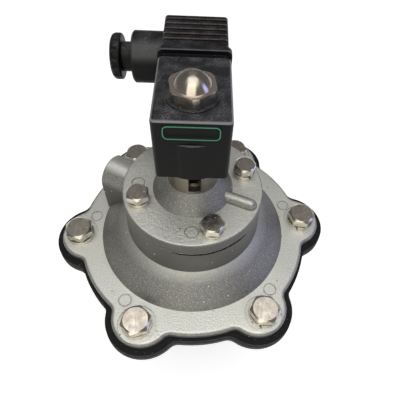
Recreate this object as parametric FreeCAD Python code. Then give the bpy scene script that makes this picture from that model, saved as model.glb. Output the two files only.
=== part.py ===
import FreeCAD, Part
import math
import os

# Two-stage diaphragm pulse valve with a right-angle body, millimetres, +Z up.
# The origin is the centre of the outlet port at its bottom face.
# The front of the coil faces -Y, the inlet port and the plug face +Y.

Vector = FreeCAD.Vector

# Lower body
port_thread_radius = 22.4
port_thread_length = 20.0
port_hub_radius = 30.0
port_edge_chamfer = 1.2
throat_radius = 21.0
seat_wall = 4.0
body_height = 85.0
body_wall = 4.5
bowl_radius = 50.0
bowl_bend_z = 44.0
outlet_hub_height = 14.0
chamber_floor_thickness = 6.0
inlet_face_y = 75.0
inlet_hub_gap = 4.0
seat_drop = 8.0
body_flange_thickness = 4.0
body_flange_radius = 62.6
body_lobe_centre = 55.5
body_lobe_radius = 19.0
body_lobe_fillet = 6.0
body_edge_fillet = 0.8
tapped_boss_radius = 8.5
tapped_boss_depth = 15.0
tapped_boss_web = 7.0
tapped_boss_web_embed = 2.0

# Flange bolts, M8
flange_bolt_count = 6
flange_bolt_first_angle = 6.0
flange_bolt_circle_radius = 61.2
flange_bolt_diameter = 8.0
flange_bolt_length = 25.0
flange_bolt_head_height = 5.0
flange_bolt_across_flats = 13.0
flange_bolt_turns = (-10.0, -8.0, 28.0, 45.0, 18.5, 3.0)
flange_washer_outer_radius = 7.2
flange_washer_thickness = 2.0

# Main diaphragm and what it carries
main_diaphragm_thickness = 3.0
diaphragm_rim_inset = 0.2
membrane_thickness = 2.2
membrane_flat_radius = 34.0
bleed_hole_radius = 1.5
bleed_hole_offset = 30.0
main_top_plate_radius = 24.0
main_bottom_plate_radius = 18.5
main_plate_thickness = 3.0
main_bolt_diameter = 8.0
main_bolt_across_flats = 13.0
main_bolt_head_height = 5.3
main_nut_height = 6.5
main_bolt_end = 1.5
main_lift = 10.0
main_spring_radius = 15.0
main_spring_wire = 1.5
main_spring_turns = 4.0
main_spring_closed_height = 8.0
spring_locator_clearance = 0.4
spring_locator_wall = 2.0
spring_locator_height = 2.0

# Bonnet with the pilot housing and the exhaust boss
bonnet_flange_thickness = 4.0
bonnet_flange_radius = 60.9
bonnet_lobe_centre = 56.2
bonnet_lobe_radius = 15.0
bonnet_lobe_fillet = 5.0
bonnet_edge_fillet = 1.8
spot_face_radius = 9.2
spot_face_depth = 0.4
dome_base_radius = 49.5
dome_bulge = 1.2
dome_height = 13.1
shoulder_radius = 34.6
housing_top_radius = 33.5
housing_height = 28.8
bonnet_cavity_radius = 45.5
bonnet_cavity_top_radius = 30.0
cavity_skirt = 1.5
exhaust_floor_thickness = 3.5
exhaust_chamber_radius = 21.0
pilot_seat_radius = 12.5
pilot_bore_radius = 8.5
pilot_seat_drop = 2.5
exhaust_angle = 154.0
exhaust_axis_height = 18.5
exhaust_boss_radius = 10.25
exhaust_boss_length = 50.0
exhaust_thread_radius = 5.7
exhaust_thread_length = 12.0
exhaust_passage_radius = 5.0
ejector_mark_radius = 3.05
ejector_mark_depth = 0.4
ejector_mark_line = 0.5
flange_mark_circle_radius = 54.5
flange_mark_angles = (174.5, -125.9, -42.7, 17.0)

# Pilot diaphragm and what it carries
pilot_diaphragm_thickness = 1.5
pilot_diaphragm_radius = 32.8
pilot_bleed_radius = 0.8
pilot_bleed_offset = 16.5
pilot_plate_radius = 11.0
pilot_plate_thickness = 1.6
pilot_rivet_radius = 2.0
pilot_rivet_head_radius = 4.0
pilot_rivet_head_height = 1.5
pilot_rivet_foot_radius = 6.5
pilot_rivet_foot_height = 1.8
pilot_lift = 3.0
pilot_spring_radius = 6.5
pilot_spring_wire = 0.8
pilot_spring_turns = 3.0
pilot_spring_closed_height = 4.0

# Pilot cover with its cone, rib and nozzle
cover_radius = 33.8
cover_thickness = 6.1
cover_edge_fillet = 0.7
cover_cavity_radius = 20.5
cover_roof_thickness = 2.8
cone_base_radius = 19.2
cone_top_radius = 12.2
cone_height = 8.5
cone_cavity_base_radius = 14.5
cone_cavity_top_radius = 9.5
socket_depth = 4.0
nozzle_radius = 2.6
nozzle_orifice_radius = 1.2
nozzle_height = 3.1
rib_radius = 3.3
rib_angle = -22.0
rib_reach = 32.6
rib_embed = 0.3
cover_mark_circle_radius = 26.4
cover_mark_angles = (-89.2, 178.0)

# Cover bolts, M6
cover_bolt_count = 4
cover_bolt_first_angle = 20.3
cover_bolt_circle_radius = 26.8
cover_bolt_diameter = 6.0
cover_bolt_length = 20.0
cover_bolt_head_height = 4.2
cover_bolt_across_flats = 9.8
cover_bolt_turns = (12.0, 5.0, 36.0, 0.0)
cover_washer_outer_radius = 5.2
cover_washer_thickness = 2.0

# Exhaust collar and core tube
collar_radius = 11.85
collar_bore_radius = 9.0
collar_height = 10.0
collar_slot_width = 5.5
collar_slot_floor = 1.7
collar_slot_count = 4
collar_slot_angle = -84.4
stem_neck_radius = 6.5
stem_bore_radius = 5.0
stem_window_width = 4.4
stem_window_floor = 0.8
stem_window_height = 6.5
stem_hex_height = 5.1
stem_hex_across_flats = 17.0
stem_hex_turn = 20.0
stem_tube_radius = 7.0
stem_gasket_thickness = 1.3
stem_gasket_bore_radius = 4.6

# Plunger and fixed core
plunger_clearance = 0.1
plunger_length = 25.6
plunger_seal_radius = 2.9
plunger_seal_thickness = 2.5
plunger_seal_proud = 0.4
plunger_pocket_radius = 2.7
plunger_pocket_depth = 8.0
plunger_lift = 2.0
plunger_end_gap = 0.2
plunger_spring_radius = 2.0
plunger_spring_wire = 0.5
plunger_spring_turns = 7.0
core_fit_clearance = 0.03
core_stud_radius = 4.0
core_stud_length = 5.2

# Coil
coil_width = 30.0
coil_front = 15.0
coil_back = 24.3
coil_height = 30.1
coil_corner_radius = 2.0
coil_edge_radius = 1.2
coil_foot_radius = 0.4
coil_bore_clearance = 0.15
coil_bulge_radius = 16.0
coil_bulge_height = 18.8
coil_pad_radius = 10.4
coil_pad_height = 0.4
coil_screw_hole_depth = 8.0
terminal_width = 6.3
terminal_thickness = 0.8
terminal_length = 11.0
terminal_root = 3.0
terminal_spacing = 18.0
earth_terminal_offset = 9.0

# Coil nut
coil_nut_across_flats = 17.0
coil_nut_corner_radius = 9.2
coil_nut_turn = 39.0
coil_nut_height = 4.7
coil_nut_dome_radius = 7.2
coil_nut_dome_height = 4.5
coil_nut_thread_clearance = 0.05
coil_nut_thread_depth = 5.3

# Plug on the back of the coil
plug_centre_height = 17.0
gasket_thickness = 0.5
gasket_width = 27.5
plug_collar_width = 30.8
plug_collar_depth = 4.0
plug_collar_corner = 2.6
plug_body_width = 28.2
plug_body_depth = 24.6
plug_body_corner = 1.5
plug_wall = 2.6
plug_rib_pitch = 3.94
plug_rib_width = 1.3
plug_rib_height = 0.5
plug_first_rib = 6.6
plug_groove_end = 2.9
plug_edge_fillet = 0.8
block_clearance = 0.2
block_depth = 20.0
block_slot_clearance = 0.15
plug_screw_radius = 1.5
plug_screw_head_radius = 2.9
plug_screw_head_height = 2.0
plug_screw_recess = 1.2
plug_screw_clearance = 0.15

# Cable gland on the side of the plug
gland_axis_depth = 12.2
gland_axis_rise = 0.8
gland_boss_radius = 11.2
gland_boss_reach = 28.0
gland_boss_chamfer = 0.8
gland_thread_radius = 6.4
gland_thread_clearance = 0.05
gland_thread_depth = 9.0
gland_gap = 4.8
gland_nut_radius = 9.9
gland_nut_length = 4.8
gland_nut_edge_radius = 2.2
gland_nut_inner_edge = 1.0
gland_flute_count = 16
gland_flute_turn = -3.5
gland_flute_radius = 1.2
gland_flute_depth = 0.7
gland_flute_length = 3.7
cable_bore_radius = 4.0
cable_way_radius = 4.5
grommet_length = 4.0
grommet_bore_radius = 3.2
gland_washer_thickness = 1.0

# General fits and the shape of every hexagon
hexagon_face_ratio = 0.9
hexagon_chamfer_angle = 38.0
washer_face_height = 0.4
washer_face_ratio = 0.92
bolt_hole_clearance = 0.4
thread_clearance = 0.05
soft_clearance = 0.3
spring_end_gap = 0.1
spring_chords_per_turn = 14

# Levels worked out from the sizes above
chamber_floor_z = port_thread_length + chamber_floor_thickness
inlet_axis_z = body_height - body_flange_thickness - inlet_hub_gap - port_hub_radius
seat_z = body_height - seat_drop
bonnet_base_z = body_height + main_diaphragm_thickness
flange_top_z = bonnet_base_z + bonnet_flange_thickness
shoulder_z = flange_top_z + dome_height
main_spring_foot_z = seat_z + main_diaphragm_thickness + main_plate_thickness
cavity_top_z = main_spring_foot_z + main_lift + main_spring_closed_height
exhaust_floor_z = cavity_top_z + exhaust_floor_thickness
exhaust_axis_z = flange_top_z + exhaust_axis_height
housing_top_z = flange_top_z + housing_height
pilot_seat_z = housing_top_z - pilot_seat_drop
cover_base_z = housing_top_z + pilot_diaphragm_thickness
cover_top_z = cover_base_z + cover_thickness
cone_top_z = cover_top_z + cone_height
socket_floor_z = cone_top_z - socket_depth
pilot_spring_foot_z = cover_base_z + pilot_plate_thickness
cone_cavity_top_z = pilot_spring_foot_z + pilot_lift + pilot_spring_closed_height
nozzle_top_z = cone_top_z + nozzle_height
collar_top_z = cone_top_z + collar_height
coil_base_z = collar_top_z + stem_hex_height
coil_top_z = coil_base_z + coil_height
nut_base_z = coil_top_z + coil_pad_height
plunger_bottom_z = nozzle_top_z + plunger_seal_proud
plunger_top_z = plunger_bottom_z + plunger_length
core_bottom_z = plunger_top_z + plunger_lift + plunger_end_gap
plug_axis_z = coil_base_z + plug_centre_height
plug_face_y = coil_back + gasket_thickness
plug_body_y = plug_face_y + plug_collar_depth
plug_back_y = plug_body_y + plug_body_depth
gland_axis_y = plug_body_y + gland_axis_depth
gland_axis_z = plug_axis_z + gland_axis_rise
tube_outer_radius = throat_radius + seat_wall


def cylinder(radius, height, base, axis=Vector(0, 0, 1)):
    return Part.makeCylinder(radius, height, base, axis)


def upright(radius, low, high, x=0.0, y=0.0):
    return cylinder(radius, high - low, Vector(x, y, low))


def ring(outer, inner, low, high):
    return upright(outer, low, high).cut(upright(inner, low, high))


def box(low, high):
    size = high - low
    return Part.makeBox(size.x, size.y, size.z, low)


def polar(radius, angle, z=0.0):
    turn = math.radians(angle)
    return Vector(radius * math.cos(turn), radius * math.sin(turn), z)


def revolve(edges):
    face = Part.Face(Part.Wire(edges))
    return face.revolve(Vector(0, 0, 0), Vector(0, 0, 1), 360)


def profile(points):
    corners = [Vector(r, 0, z) for r, z in points]
    corners.append(corners[0])
    return [Part.makeLine(a, b) for a, b in zip(corners, corners[1:])]


def turned(shape, angle):
    result = shape.copy()
    result.rotate(Vector(0, 0, 0), Vector(0, 0, 1), angle)
    return result


def placed(shape, position, turn=0.0):
    result = turned(shape, turn)
    result.translate(position)
    return result


def circle_positions(radius, count, first_angle):
    return [polar(radius, first_angle + i * 360.0 / count) for i in range(count)]


def flange_bolt_positions():
    return circle_positions(flange_bolt_circle_radius, flange_bolt_count, flange_bolt_first_angle)


def cover_bolt_positions():
    return circle_positions(cover_bolt_circle_radius, cover_bolt_count, cover_bolt_first_angle)


def holes(positions, radius, low, high):
    return Part.makeCompound([upright(radius, low, high, p.x, p.y) for p in positions])


def ejector_marks(circle_radius, angles, face_z):
    # Round grooves that the pins of the casting die leave.
    outer = ejector_mark_radius + ejector_mark_line / 2
    groove = ring(outer, outer - ejector_mark_line, face_z - ejector_mark_depth, face_z + 1)
    return Part.makeCompound([placed(groove, polar(circle_radius, angle)) for angle in angles])


def lobed_outline(base_radius, lobe_centre, lobe_radius, fillet):
    # Base circle, one round lobe at each bolt and concave fillets between them, all as tangent arcs.
    reach = base_radius + fillet
    span = lobe_radius + fillet
    cosine = (reach ** 2 + lobe_centre ** 2 - span ** 2) / (2 * reach * lobe_centre)
    half_angle = math.degrees(math.acos(cosine))
    step = 360.0 / flange_bolt_count
    edges = []
    for i in range(flange_bolt_count):
        axis = flange_bolt_first_angle + i * step
        centre = polar(lobe_centre, axis)
        sides = []
        for side in (-1, 1):
            fillet_centre = polar(reach, axis + side * half_angle)
            on_base = polar(base_radius, axis + side * half_angle)
            toward_lobe = (centre - fillet_centre).normalize()
            on_lobe = fillet_centre + toward_lobe * fillet
            toward_base = (on_base - fillet_centre).normalize()
            middle = fillet_centre + (toward_lobe + toward_base).normalize() * fillet
            sides.append((on_base, middle, on_lobe))
        first, last = sides
        tip = polar(lobe_centre + lobe_radius, axis)
        next_base = polar(base_radius, axis + step - half_angle)
        edges.append(Part.Arc(first[0], first[1], first[2]).toShape())
        edges.append(Part.Arc(first[2], tip, last[2]).toShape())
        edges.append(Part.Arc(last[2], last[1], last[0]).toShape())
        edges.append(Part.Arc(last[0], polar(base_radius, axis + step / 2), next_base).toShape())
    return Part.Face(Part.Wire(edges))


def lobed_plate(outline, low, thickness):
    face = outline.copy()
    face.translate(Vector(0, 0, low))
    return face.extrude(Vector(0, 0, thickness))


def round_edges_at(shape, z, radius):
    edges = [e for e in shape.Edges if abs(e.BoundBox.ZMin - z) < 1e-4 and abs(e.BoundBox.ZMax - z) < 1e-4]
    return shape.makeFillet(radius, edges)


def hexagon_prism(across_flats, low, high, turn=0.0):
    corners = [polar(across_flats / math.sqrt(3), turn + 60 * i, low) for i in range(7)]
    return Part.Face(Part.makePolygon(corners)).extrude(Vector(0, 0, high - low))


def chamfered_hexagon(across_flats, low, high, turn=0.0):
    # The corners of the top are turned off by a cone.
    face = across_flats / 2 * hexagon_face_ratio
    corner = across_flats / math.sqrt(3) + 0.1
    drop = (corner - face) * math.tan(math.radians(hexagon_chamfer_angle))
    crown = revolve(profile([(0, low), (corner, low), (corner, high - drop), (face, high), (0, high)]))
    return hexagon_prism(across_flats, low, high, turn).common(crown)


def hex_bolt(diameter, length, across_flats, head_height, turn):
    # Head above z = 0 and shank below it, with a round washer face under the hexagon.
    head = chamfered_hexagon(across_flats, washer_face_height, head_height, turn)
    washer_face = upright(across_flats / 2 * washer_face_ratio, 0, washer_face_height)
    shank = upright(diameter / 2 - thread_clearance, -length, 0)
    return head.multiFuse([washer_face, shank]).removeSplitter()


def spring_washer(bore, outer, thickness):
    # A split ring: its gap is cut on a slant.
    gap = thickness * 0.45
    blade = Part.makeBox(outer, gap, thickness * 3, Vector(0, -gap / 2, -thickness))
    blade.rotate(Vector(0, 0, thickness / 2), Vector(1, 0, 0), 30)
    return ring(outer, bore, 0, thickness).cut(blade)


def coil_spring(radius, wire, turns, low, high):
    # A six-sided wire on short chords of its helix; its centre line ends half a wire inside the seats.
    start = low + wire / 2 + spring_end_gap
    rise = high - low - wire - 2 * spring_end_gap
    chords = int(turns * spring_chords_per_turn)
    step = 360.0 / spring_chords_per_turn
    points = [polar(radius, i * step, start + rise * i / chords) for i in range(chords + 1)]
    along = (points[1] - points[0]).normalize()
    outward = Vector(1, 0, 0)
    upward = outward.cross(along).normalize()
    outward = along.cross(upward)
    corners = []
    for i in range(7):
        turn = math.radians(60 * i)
        corners.append(points[0] + outward * (wire / 2 * math.cos(turn)) + upward * (wire / 2 * math.sin(turn)))
    return Part.makePolygon(points).makePipeShell([Part.makePolygon(corners)], True, False, 1)


def bowl_centre():
    # Centre of the bowl's round underside, tangent to its upright wall and ending on the outlet hub.
    drop = bowl_bend_z - outlet_hub_height
    return (bowl_radius ** 2 - port_hub_radius ** 2 - drop ** 2) / (2 * (bowl_radius - port_hub_radius))


def bowl_arc(radius, low_z):
    centre = bowl_centre()
    sweep = radius - centre
    low_r = centre + math.sqrt(sweep ** 2 - (bowl_bend_z - low_z) ** 2)
    end_angle = math.atan2(low_z - bowl_bend_z, low_r - centre)
    middle = Vector(centre + sweep * math.cos(end_angle / 2), 0, bowl_bend_z + sweep * math.sin(end_angle / 2))
    return Part.Arc(Vector(low_r, 0, low_z), middle, Vector(radius, 0, bowl_bend_z)).toShape()


def bowl_outside():
    arc = bowl_arc(bowl_radius, outlet_hub_height)
    top = body_height - body_flange_thickness
    path = [
        Vector(0, 0, 0),
        Vector(port_hub_radius - port_edge_chamfer, 0, 0),
        Vector(port_hub_radius, 0, port_edge_chamfer),
        Vector(port_hub_radius, 0, outlet_hub_height),
    ]
    edges = [Part.makeLine(a, b) for a, b in zip(path, path[1:])]
    edges.append(arc)
    rest = [Vector(bowl_radius, 0, bowl_bend_z), Vector(bowl_radius, 0, top), Vector(0, 0, top), path[0]]
    edges += [Part.makeLine(a, b) for a, b in zip(rest, rest[1:])]
    return revolve(edges)


def bowl_inside():
    # The annular inlet chamber round the outlet tube, open above the seat.
    inner = bowl_radius - body_wall
    arc = bowl_arc(inner, chamber_floor_z)
    floor_start = arc.Vertexes[0].Point
    path = [
        Vector(0, 0, body_height),
        Vector(0, 0, seat_z),
        Vector(tube_outer_radius, 0, seat_z),
        Vector(tube_outer_radius, 0, chamber_floor_z),
        floor_start,
    ]
    edges = [Part.makeLine(a, b) for a, b in zip(path, path[1:])]
    edges.append(arc)
    rest = [Vector(inner, 0, bowl_bend_z), Vector(inner, 0, body_height), path[0]]
    edges += [Part.makeLine(a, b) for a, b in zip(rest, rest[1:])]
    return revolve(edges)


def inlet_hub():
    hub = cylinder(port_hub_radius, inlet_face_y, Vector(0, 0, inlet_axis_z), Vector(0, 1, 0))
    rim = [e for e in hub.Edges if abs(e.BoundBox.YMin - inlet_face_y) < 1e-4]
    return hub.makeChamfer(port_edge_chamfer, rim)


def inlet_bore():
    axis = Vector(0, 1, 0)
    thread_start = inlet_face_y - port_thread_length
    thread = cylinder(port_thread_radius, port_thread_length, Vector(0, thread_start, inlet_axis_z), axis)
    passage_start = tube_outer_radius + 0.5
    passage = cylinder(throat_radius, thread_start - passage_start, Vector(0, passage_start, inlet_axis_z), axis)
    return thread.fuse(passage)


def lower_body():
    outline = lobed_outline(body_flange_radius, body_lobe_centre, body_lobe_radius, body_lobe_fillet)
    flange_low = body_height - body_flange_thickness
    flange = round_edges_at(lobed_plate(outline, flange_low, body_flange_thickness), flange_low, body_edge_fillet)
    positions = flange_bolt_positions()
    bosses = [upright(tapped_boss_radius, flange_low - tapped_boss_depth, flange_low, p.x, p.y) for p in positions]
    bosses = [b.common(lobed_plate(outline, 0, body_height)) for b in bosses]
    web = box(Vector(bowl_radius - tapped_boss_web_embed, -tapped_boss_web / 2, flange_low - tapped_boss_depth),
              Vector(flange_bolt_circle_radius, tapped_boss_web / 2, flange_low))
    step = 360.0 / flange_bolt_count
    webs = [turned(web, flange_bolt_first_angle + i * step) for i in range(flange_bolt_count)]
    solid = bowl_outside().multiFuse([flange, inlet_hub()] + bosses + webs)
    thread = upright(port_thread_radius, 0, port_thread_length)
    throat = upright(throat_radius, port_thread_length, seat_z)
    bolt_end_z = flange_top_z - spot_face_depth + flange_washer_thickness - flange_bolt_length
    tapped = holes(positions, flange_bolt_diameter / 2, bolt_end_z - 1, body_height)
    return solid.cut([bowl_inside(), thread, throat, inlet_bore(), tapped]).removeSplitter()


def main_diaphragm():
    inset = diaphragm_rim_inset
    outline = lobed_outline(body_flange_radius - inset, body_lobe_centre, body_lobe_radius - inset,
                            body_lobe_fillet + inset)
    clamp_radius = bowl_radius - body_wall
    rim = lobed_plate(outline, body_height, main_diaphragm_thickness).cut(
        upright(clamp_radius - membrane_thickness, body_height, bonnet_base_z))
    pad_top = seat_z + main_diaphragm_thickness
    bore = main_bolt_diameter / 2 + soft_clearance
    membrane = revolve(profile([
        (bore, seat_z),
        (membrane_flat_radius + membrane_thickness / 2, seat_z),
        (clamp_radius, body_height),
        (clamp_radius, bonnet_base_z),
        (clamp_radius - membrane_thickness, bonnet_base_z),
        (membrane_flat_radius - membrane_thickness / 2, pad_top),
        (bore, pad_top),
    ]))
    bleed = upright(bleed_hole_radius, seat_z, pad_top, bleed_hole_offset, 0)
    bolt_hole = flange_bolt_diameter / 2 + soft_clearance
    bolts = holes(flange_bolt_positions(), bolt_hole, body_height, bonnet_base_z)
    return rim.fuse(membrane).cut([bleed, bolts]).removeSplitter()


def main_top_plate():
    low = seat_z + main_diaphragm_thickness
    high = low + main_plate_thickness
    bore = main_bolt_diameter / 2
    locator_radius = main_spring_radius - main_spring_wire / 2 - spring_locator_clearance
    locator = ring(locator_radius, locator_radius - spring_locator_wall, high, high + spring_locator_height)
    return ring(main_top_plate_radius, bore, low, high).fuse(locator).removeSplitter()


def main_bottom_plate():
    low = seat_z - main_plate_thickness
    plate = ring(main_bottom_plate_radius, main_bolt_diameter / 2, low, seat_z)
    rim = [e for e in plate.Edges if abs(e.BoundBox.ZMax - low) < 1e-4 and e.Curve.Radius > main_bolt_diameter]
    return plate.makeChamfer(1.2, rim)


def main_plate_bolt():
    head_top = seat_z - main_plate_thickness
    shank_top = seat_z + main_diaphragm_thickness + main_plate_thickness + main_nut_height + main_bolt_end
    length = shank_top - head_top
    bolt = hex_bolt(main_bolt_diameter, length, main_bolt_across_flats, main_bolt_head_height, 0)
    bolt.rotate(Vector(0, 0, 0), Vector(1, 0, 0), 180)
    bolt.translate(Vector(0, 0, head_top))
    return bolt


def main_plate_nut():
    low = seat_z + main_diaphragm_thickness + main_plate_thickness
    high = low + main_nut_height
    nut = chamfered_hexagon(main_bolt_across_flats, low, high)
    return nut.cut(upright(main_bolt_diameter / 2, low, high))


def main_spring():
    return coil_spring(main_spring_radius, main_spring_wire, main_spring_turns, main_spring_foot_z, cavity_top_z)


def dome_outside():
    base = Vector(dome_base_radius, 0, flange_top_z)
    top = Vector(shoulder_radius, 0, shoulder_z)
    along = (top - base).normalize()
    outward = Vector(along.z, 0, -along.x)
    middle = (base + top) * 0.5 + outward * dome_bulge
    low = Vector(dome_base_radius, 0, bonnet_base_z)
    edges = [
        Part.makeLine(low, base),
        Part.Arc(base, middle, top).toShape(),
        Part.makeLine(top, Vector(housing_top_radius, 0, housing_top_z)),
        Part.makeLine(Vector(housing_top_radius, 0, housing_top_z), Vector(0, 0, housing_top_z)),
        Part.makeLine(Vector(0, 0, housing_top_z), Vector(0, 0, bonnet_base_z)),
        Part.makeLine(Vector(0, 0, bonnet_base_z), low),
    ]
    return revolve(edges)


def exhaust_boss():
    # A round boss carried down to the flange by upright sides, built along +X and turned to its place.
    axis = Vector(1, 0, 0)
    start = exhaust_chamber_radius + 1
    length = exhaust_boss_length - start
    barrel = cylinder(exhaust_boss_radius, length, Vector(start, 0, exhaust_axis_z), axis)
    rim = [e for e in barrel.Edges if abs(e.BoundBox.XMin - exhaust_boss_length) < 1e-4]
    barrel = barrel.makeChamfer(0.6, rim)
    skirt = box(Vector(start, -exhaust_boss_radius, flange_top_z - 1),
                Vector(exhaust_boss_length - 0.6, exhaust_boss_radius, exhaust_axis_z))
    return turned(barrel.fuse(skirt), exhaust_angle)


def exhaust_bore():
    axis = Vector(1, 0, 0)
    start = pilot_seat_radius + 1
    passage = cylinder(exhaust_passage_radius, exhaust_boss_length - start, Vector(start, 0, exhaust_axis_z), axis)
    thread_start = exhaust_boss_length - exhaust_thread_length
    thread = cylinder(exhaust_thread_radius, exhaust_thread_length, Vector(thread_start, 0, exhaust_axis_z), axis)
    return turned(passage.fuse(thread), exhaust_angle)


def bonnet_cavity():
    skirt_z = bonnet_base_z + cavity_skirt
    return revolve(profile([
        (0, bonnet_base_z),
        (bonnet_cavity_radius, bonnet_base_z),
        (bonnet_cavity_radius, skirt_z),
        (bonnet_cavity_top_radius, cavity_top_z),
        (0, cavity_top_z),
    ]))


def bonnet():
    outline = lobed_outline(bonnet_flange_radius, bonnet_lobe_centre, bonnet_lobe_radius, bonnet_lobe_fillet)
    flange = lobed_plate(outline, bonnet_base_z, bonnet_flange_thickness)
    flange = round_edges_at(flange, flange_top_z, bonnet_edge_fillet)
    solid = flange.multiFuse([dome_outside(), exhaust_boss()])
    positions = flange_bolt_positions()
    bolt_hole = (flange_bolt_diameter + bolt_hole_clearance) / 2
    spots = holes(positions, spot_face_radius, flange_top_z - spot_face_depth, shoulder_z)
    marks = ejector_marks(flange_mark_circle_radius, flange_mark_angles, flange_top_z)
    chamber = ring(exhaust_chamber_radius, pilot_seat_radius, exhaust_floor_z, housing_top_z)
    seat_recess = upright(exhaust_chamber_radius, pilot_seat_z, housing_top_z)
    pilot_bore = upright(pilot_bore_radius, cavity_top_z, pilot_seat_z)
    tap_floor = cover_top_z + cover_washer_thickness - cover_bolt_length - 1
    cutters = [
        bonnet_cavity(),
        holes(positions, bolt_hole, bonnet_base_z, flange_top_z),
        spots,
        marks,
        chamber,
        seat_recess,
        pilot_bore,
        exhaust_bore(),
        holes(cover_bolt_positions(), cover_bolt_diameter / 2, tap_floor, housing_top_z),
    ]
    return solid.cut(cutters).removeSplitter()


def flange_bolts():
    seat = Vector(0, 0, flange_top_z - spot_face_depth + flange_washer_thickness)
    bolts = []
    for position, turn in zip(flange_bolt_positions(), flange_bolt_turns):
        bolt = hex_bolt(flange_bolt_diameter, flange_bolt_length, flange_bolt_across_flats,
                        flange_bolt_head_height, turn)
        bolts.append(placed(bolt, position + seat))
    return Part.makeCompound(bolts)


def flange_spring_washers():
    washer = spring_washer(flange_bolt_diameter / 2 + 0.1, flange_washer_outer_radius, flange_washer_thickness)
    seat = Vector(0, 0, flange_top_z - spot_face_depth)
    turns = [-110 + 73 * i for i in range(flange_bolt_count)]
    return Part.makeCompound([placed(washer, p + seat, t) for p, t in zip(flange_bolt_positions(), turns)])


def pilot_diaphragm():
    rubber = upright(pilot_diaphragm_radius, housing_top_z, cover_base_z)
    pad_radius = pilot_seat_radius + 0.8
    pad = upright(pad_radius, pilot_seat_z, housing_top_z)
    bore = upright(pilot_rivet_radius + soft_clearance, pilot_seat_z, cover_base_z)
    bleed = upright(pilot_bleed_radius, housing_top_z, cover_base_z, pilot_bleed_offset, 0)
    bolt_hole = cover_bolt_diameter / 2 + soft_clearance
    bolts = holes(cover_bolt_positions(), bolt_hole, housing_top_z, cover_base_z)
    return rubber.fuse(pad).cut([bore, bleed, bolts]).removeSplitter()


def pilot_plate():
    return ring(pilot_plate_radius, pilot_rivet_radius, cover_base_z, cover_base_z + pilot_plate_thickness)


def pilot_rivet():
    foot = upright(pilot_rivet_foot_radius, pilot_seat_z - pilot_rivet_foot_height, pilot_seat_z)
    plate_top = cover_base_z + pilot_plate_thickness
    shank = upright(pilot_rivet_radius, pilot_seat_z, plate_top)
    head = upright(pilot_rivet_head_radius, plate_top, plate_top + pilot_rivet_head_height)
    return foot.multiFuse([shank, head]).removeSplitter()


def pilot_spring():
    return coil_spring(pilot_spring_radius, pilot_spring_wire, pilot_spring_turns, pilot_spring_foot_z,
                       cone_cavity_top_z)


def cover_rib():
    # A half-round finger over the inner passage, with a round outer end.
    axis_z = cover_top_z - rib_embed
    finger = cylinder(rib_radius, rib_reach - rib_radius, Vector(0, 0, axis_z), Vector(1, 0, 0))
    tip = Part.makeSphere(rib_radius, Vector(rib_reach - rib_radius, 0, axis_z))
    above = box(Vector(0, -rib_radius, cover_base_z + 1), Vector(rib_reach, rib_radius, cover_top_z + rib_radius))
    return turned(finger.fuse(tip).common(above), rib_angle)


def cover_cavity():
    roof_z = cover_top_z - cover_roof_thickness
    return revolve(profile([
        (0, cover_base_z),
        (cover_cavity_radius, cover_base_z),
        (cover_cavity_radius, roof_z),
        (cone_cavity_base_radius, roof_z),
        (cone_cavity_top_radius, cone_cavity_top_z),
        (0, cone_cavity_top_z),
    ]))


def pilot_cover():
    plate = upright(cover_radius, cover_base_z, cover_top_z)
    plate = round_edges_at(plate, cover_top_z, cover_edge_fillet)
    cone = Part.makeCone(cone_base_radius, cone_top_radius, cone_height, Vector(0, 0, cover_top_z))
    solid = plate.multiFuse([cone, cover_rib()])
    bolt_hole = (cover_bolt_diameter + bolt_hole_clearance) / 2
    marks = ejector_marks(cover_mark_circle_radius, cover_mark_angles, cover_top_z)
    cutters = [
        cover_cavity(),
        holes(cover_bolt_positions(), bolt_hole, cover_base_z, cover_top_z),
        marks,
        upright(stem_neck_radius, socket_floor_z, cone_top_z),
    ]
    solid = solid.cut(cutters)
    solid = solid.fuse(upright(nozzle_radius, (cone_cavity_top_z + socket_floor_z) / 2, nozzle_top_z))
    return solid.cut(upright(nozzle_orifice_radius, cone_cavity_top_z, nozzle_top_z)).removeSplitter()


def cover_bolts():
    seat = Vector(0, 0, cover_top_z + cover_washer_thickness)
    bolts = []
    for position, turn in zip(cover_bolt_positions(), cover_bolt_turns):
        bolt = hex_bolt(cover_bolt_diameter, cover_bolt_length, cover_bolt_across_flats,
                        cover_bolt_head_height, turn)
        bolts.append(placed(bolt, position + seat))
    return Part.makeCompound(bolts)


def cover_spring_washers():
    washer = spring_washer(cover_bolt_diameter / 2 + 0.1, cover_washer_outer_radius, cover_washer_thickness)
    seat = Vector(0, 0, cover_top_z)
    turns = [-60 + 81 * i for i in range(cover_bolt_count)]
    return Part.makeCompound([placed(washer, p + seat, t) for p, t in zip(cover_bolt_positions(), turns)])


def radial_slots(width, low, high, reach):
    slots = []
    for i in range(collar_slot_count):
        slot = box(Vector(0, -width / 2, low), Vector(reach, width / 2, high))
        slots.append(turned(slot, collar_slot_angle + i * 360.0 / collar_slot_count))
    return slots


def exhaust_collar():
    collar = ring(collar_radius, collar_bore_radius, cone_top_z, collar_top_z)
    slots = radial_slots(collar_slot_width, cone_top_z + collar_slot_floor, collar_top_z, collar_radius + 1)
    return collar.cut(slots).removeSplitter()


def core_tube():
    neck_low = socket_floor_z + stem_gasket_thickness
    neck = upright(stem_neck_radius - thread_clearance, neck_low, collar_top_z)
    nut = chamfered_hexagon(stem_hex_across_flats, collar_top_z, coil_base_z, stem_hex_turn)
    tube = upright(stem_tube_radius, coil_base_z, coil_top_z)
    solid = neck.multiFuse([nut, tube])
    window_low = cone_top_z + stem_window_floor
    windows = radial_slots(stem_window_width, window_low, window_low + stem_window_height, stem_neck_radius + 1)
    bore = upright(stem_bore_radius, neck_low, coil_top_z)
    return solid.cut([bore] + windows).removeSplitter()


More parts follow.
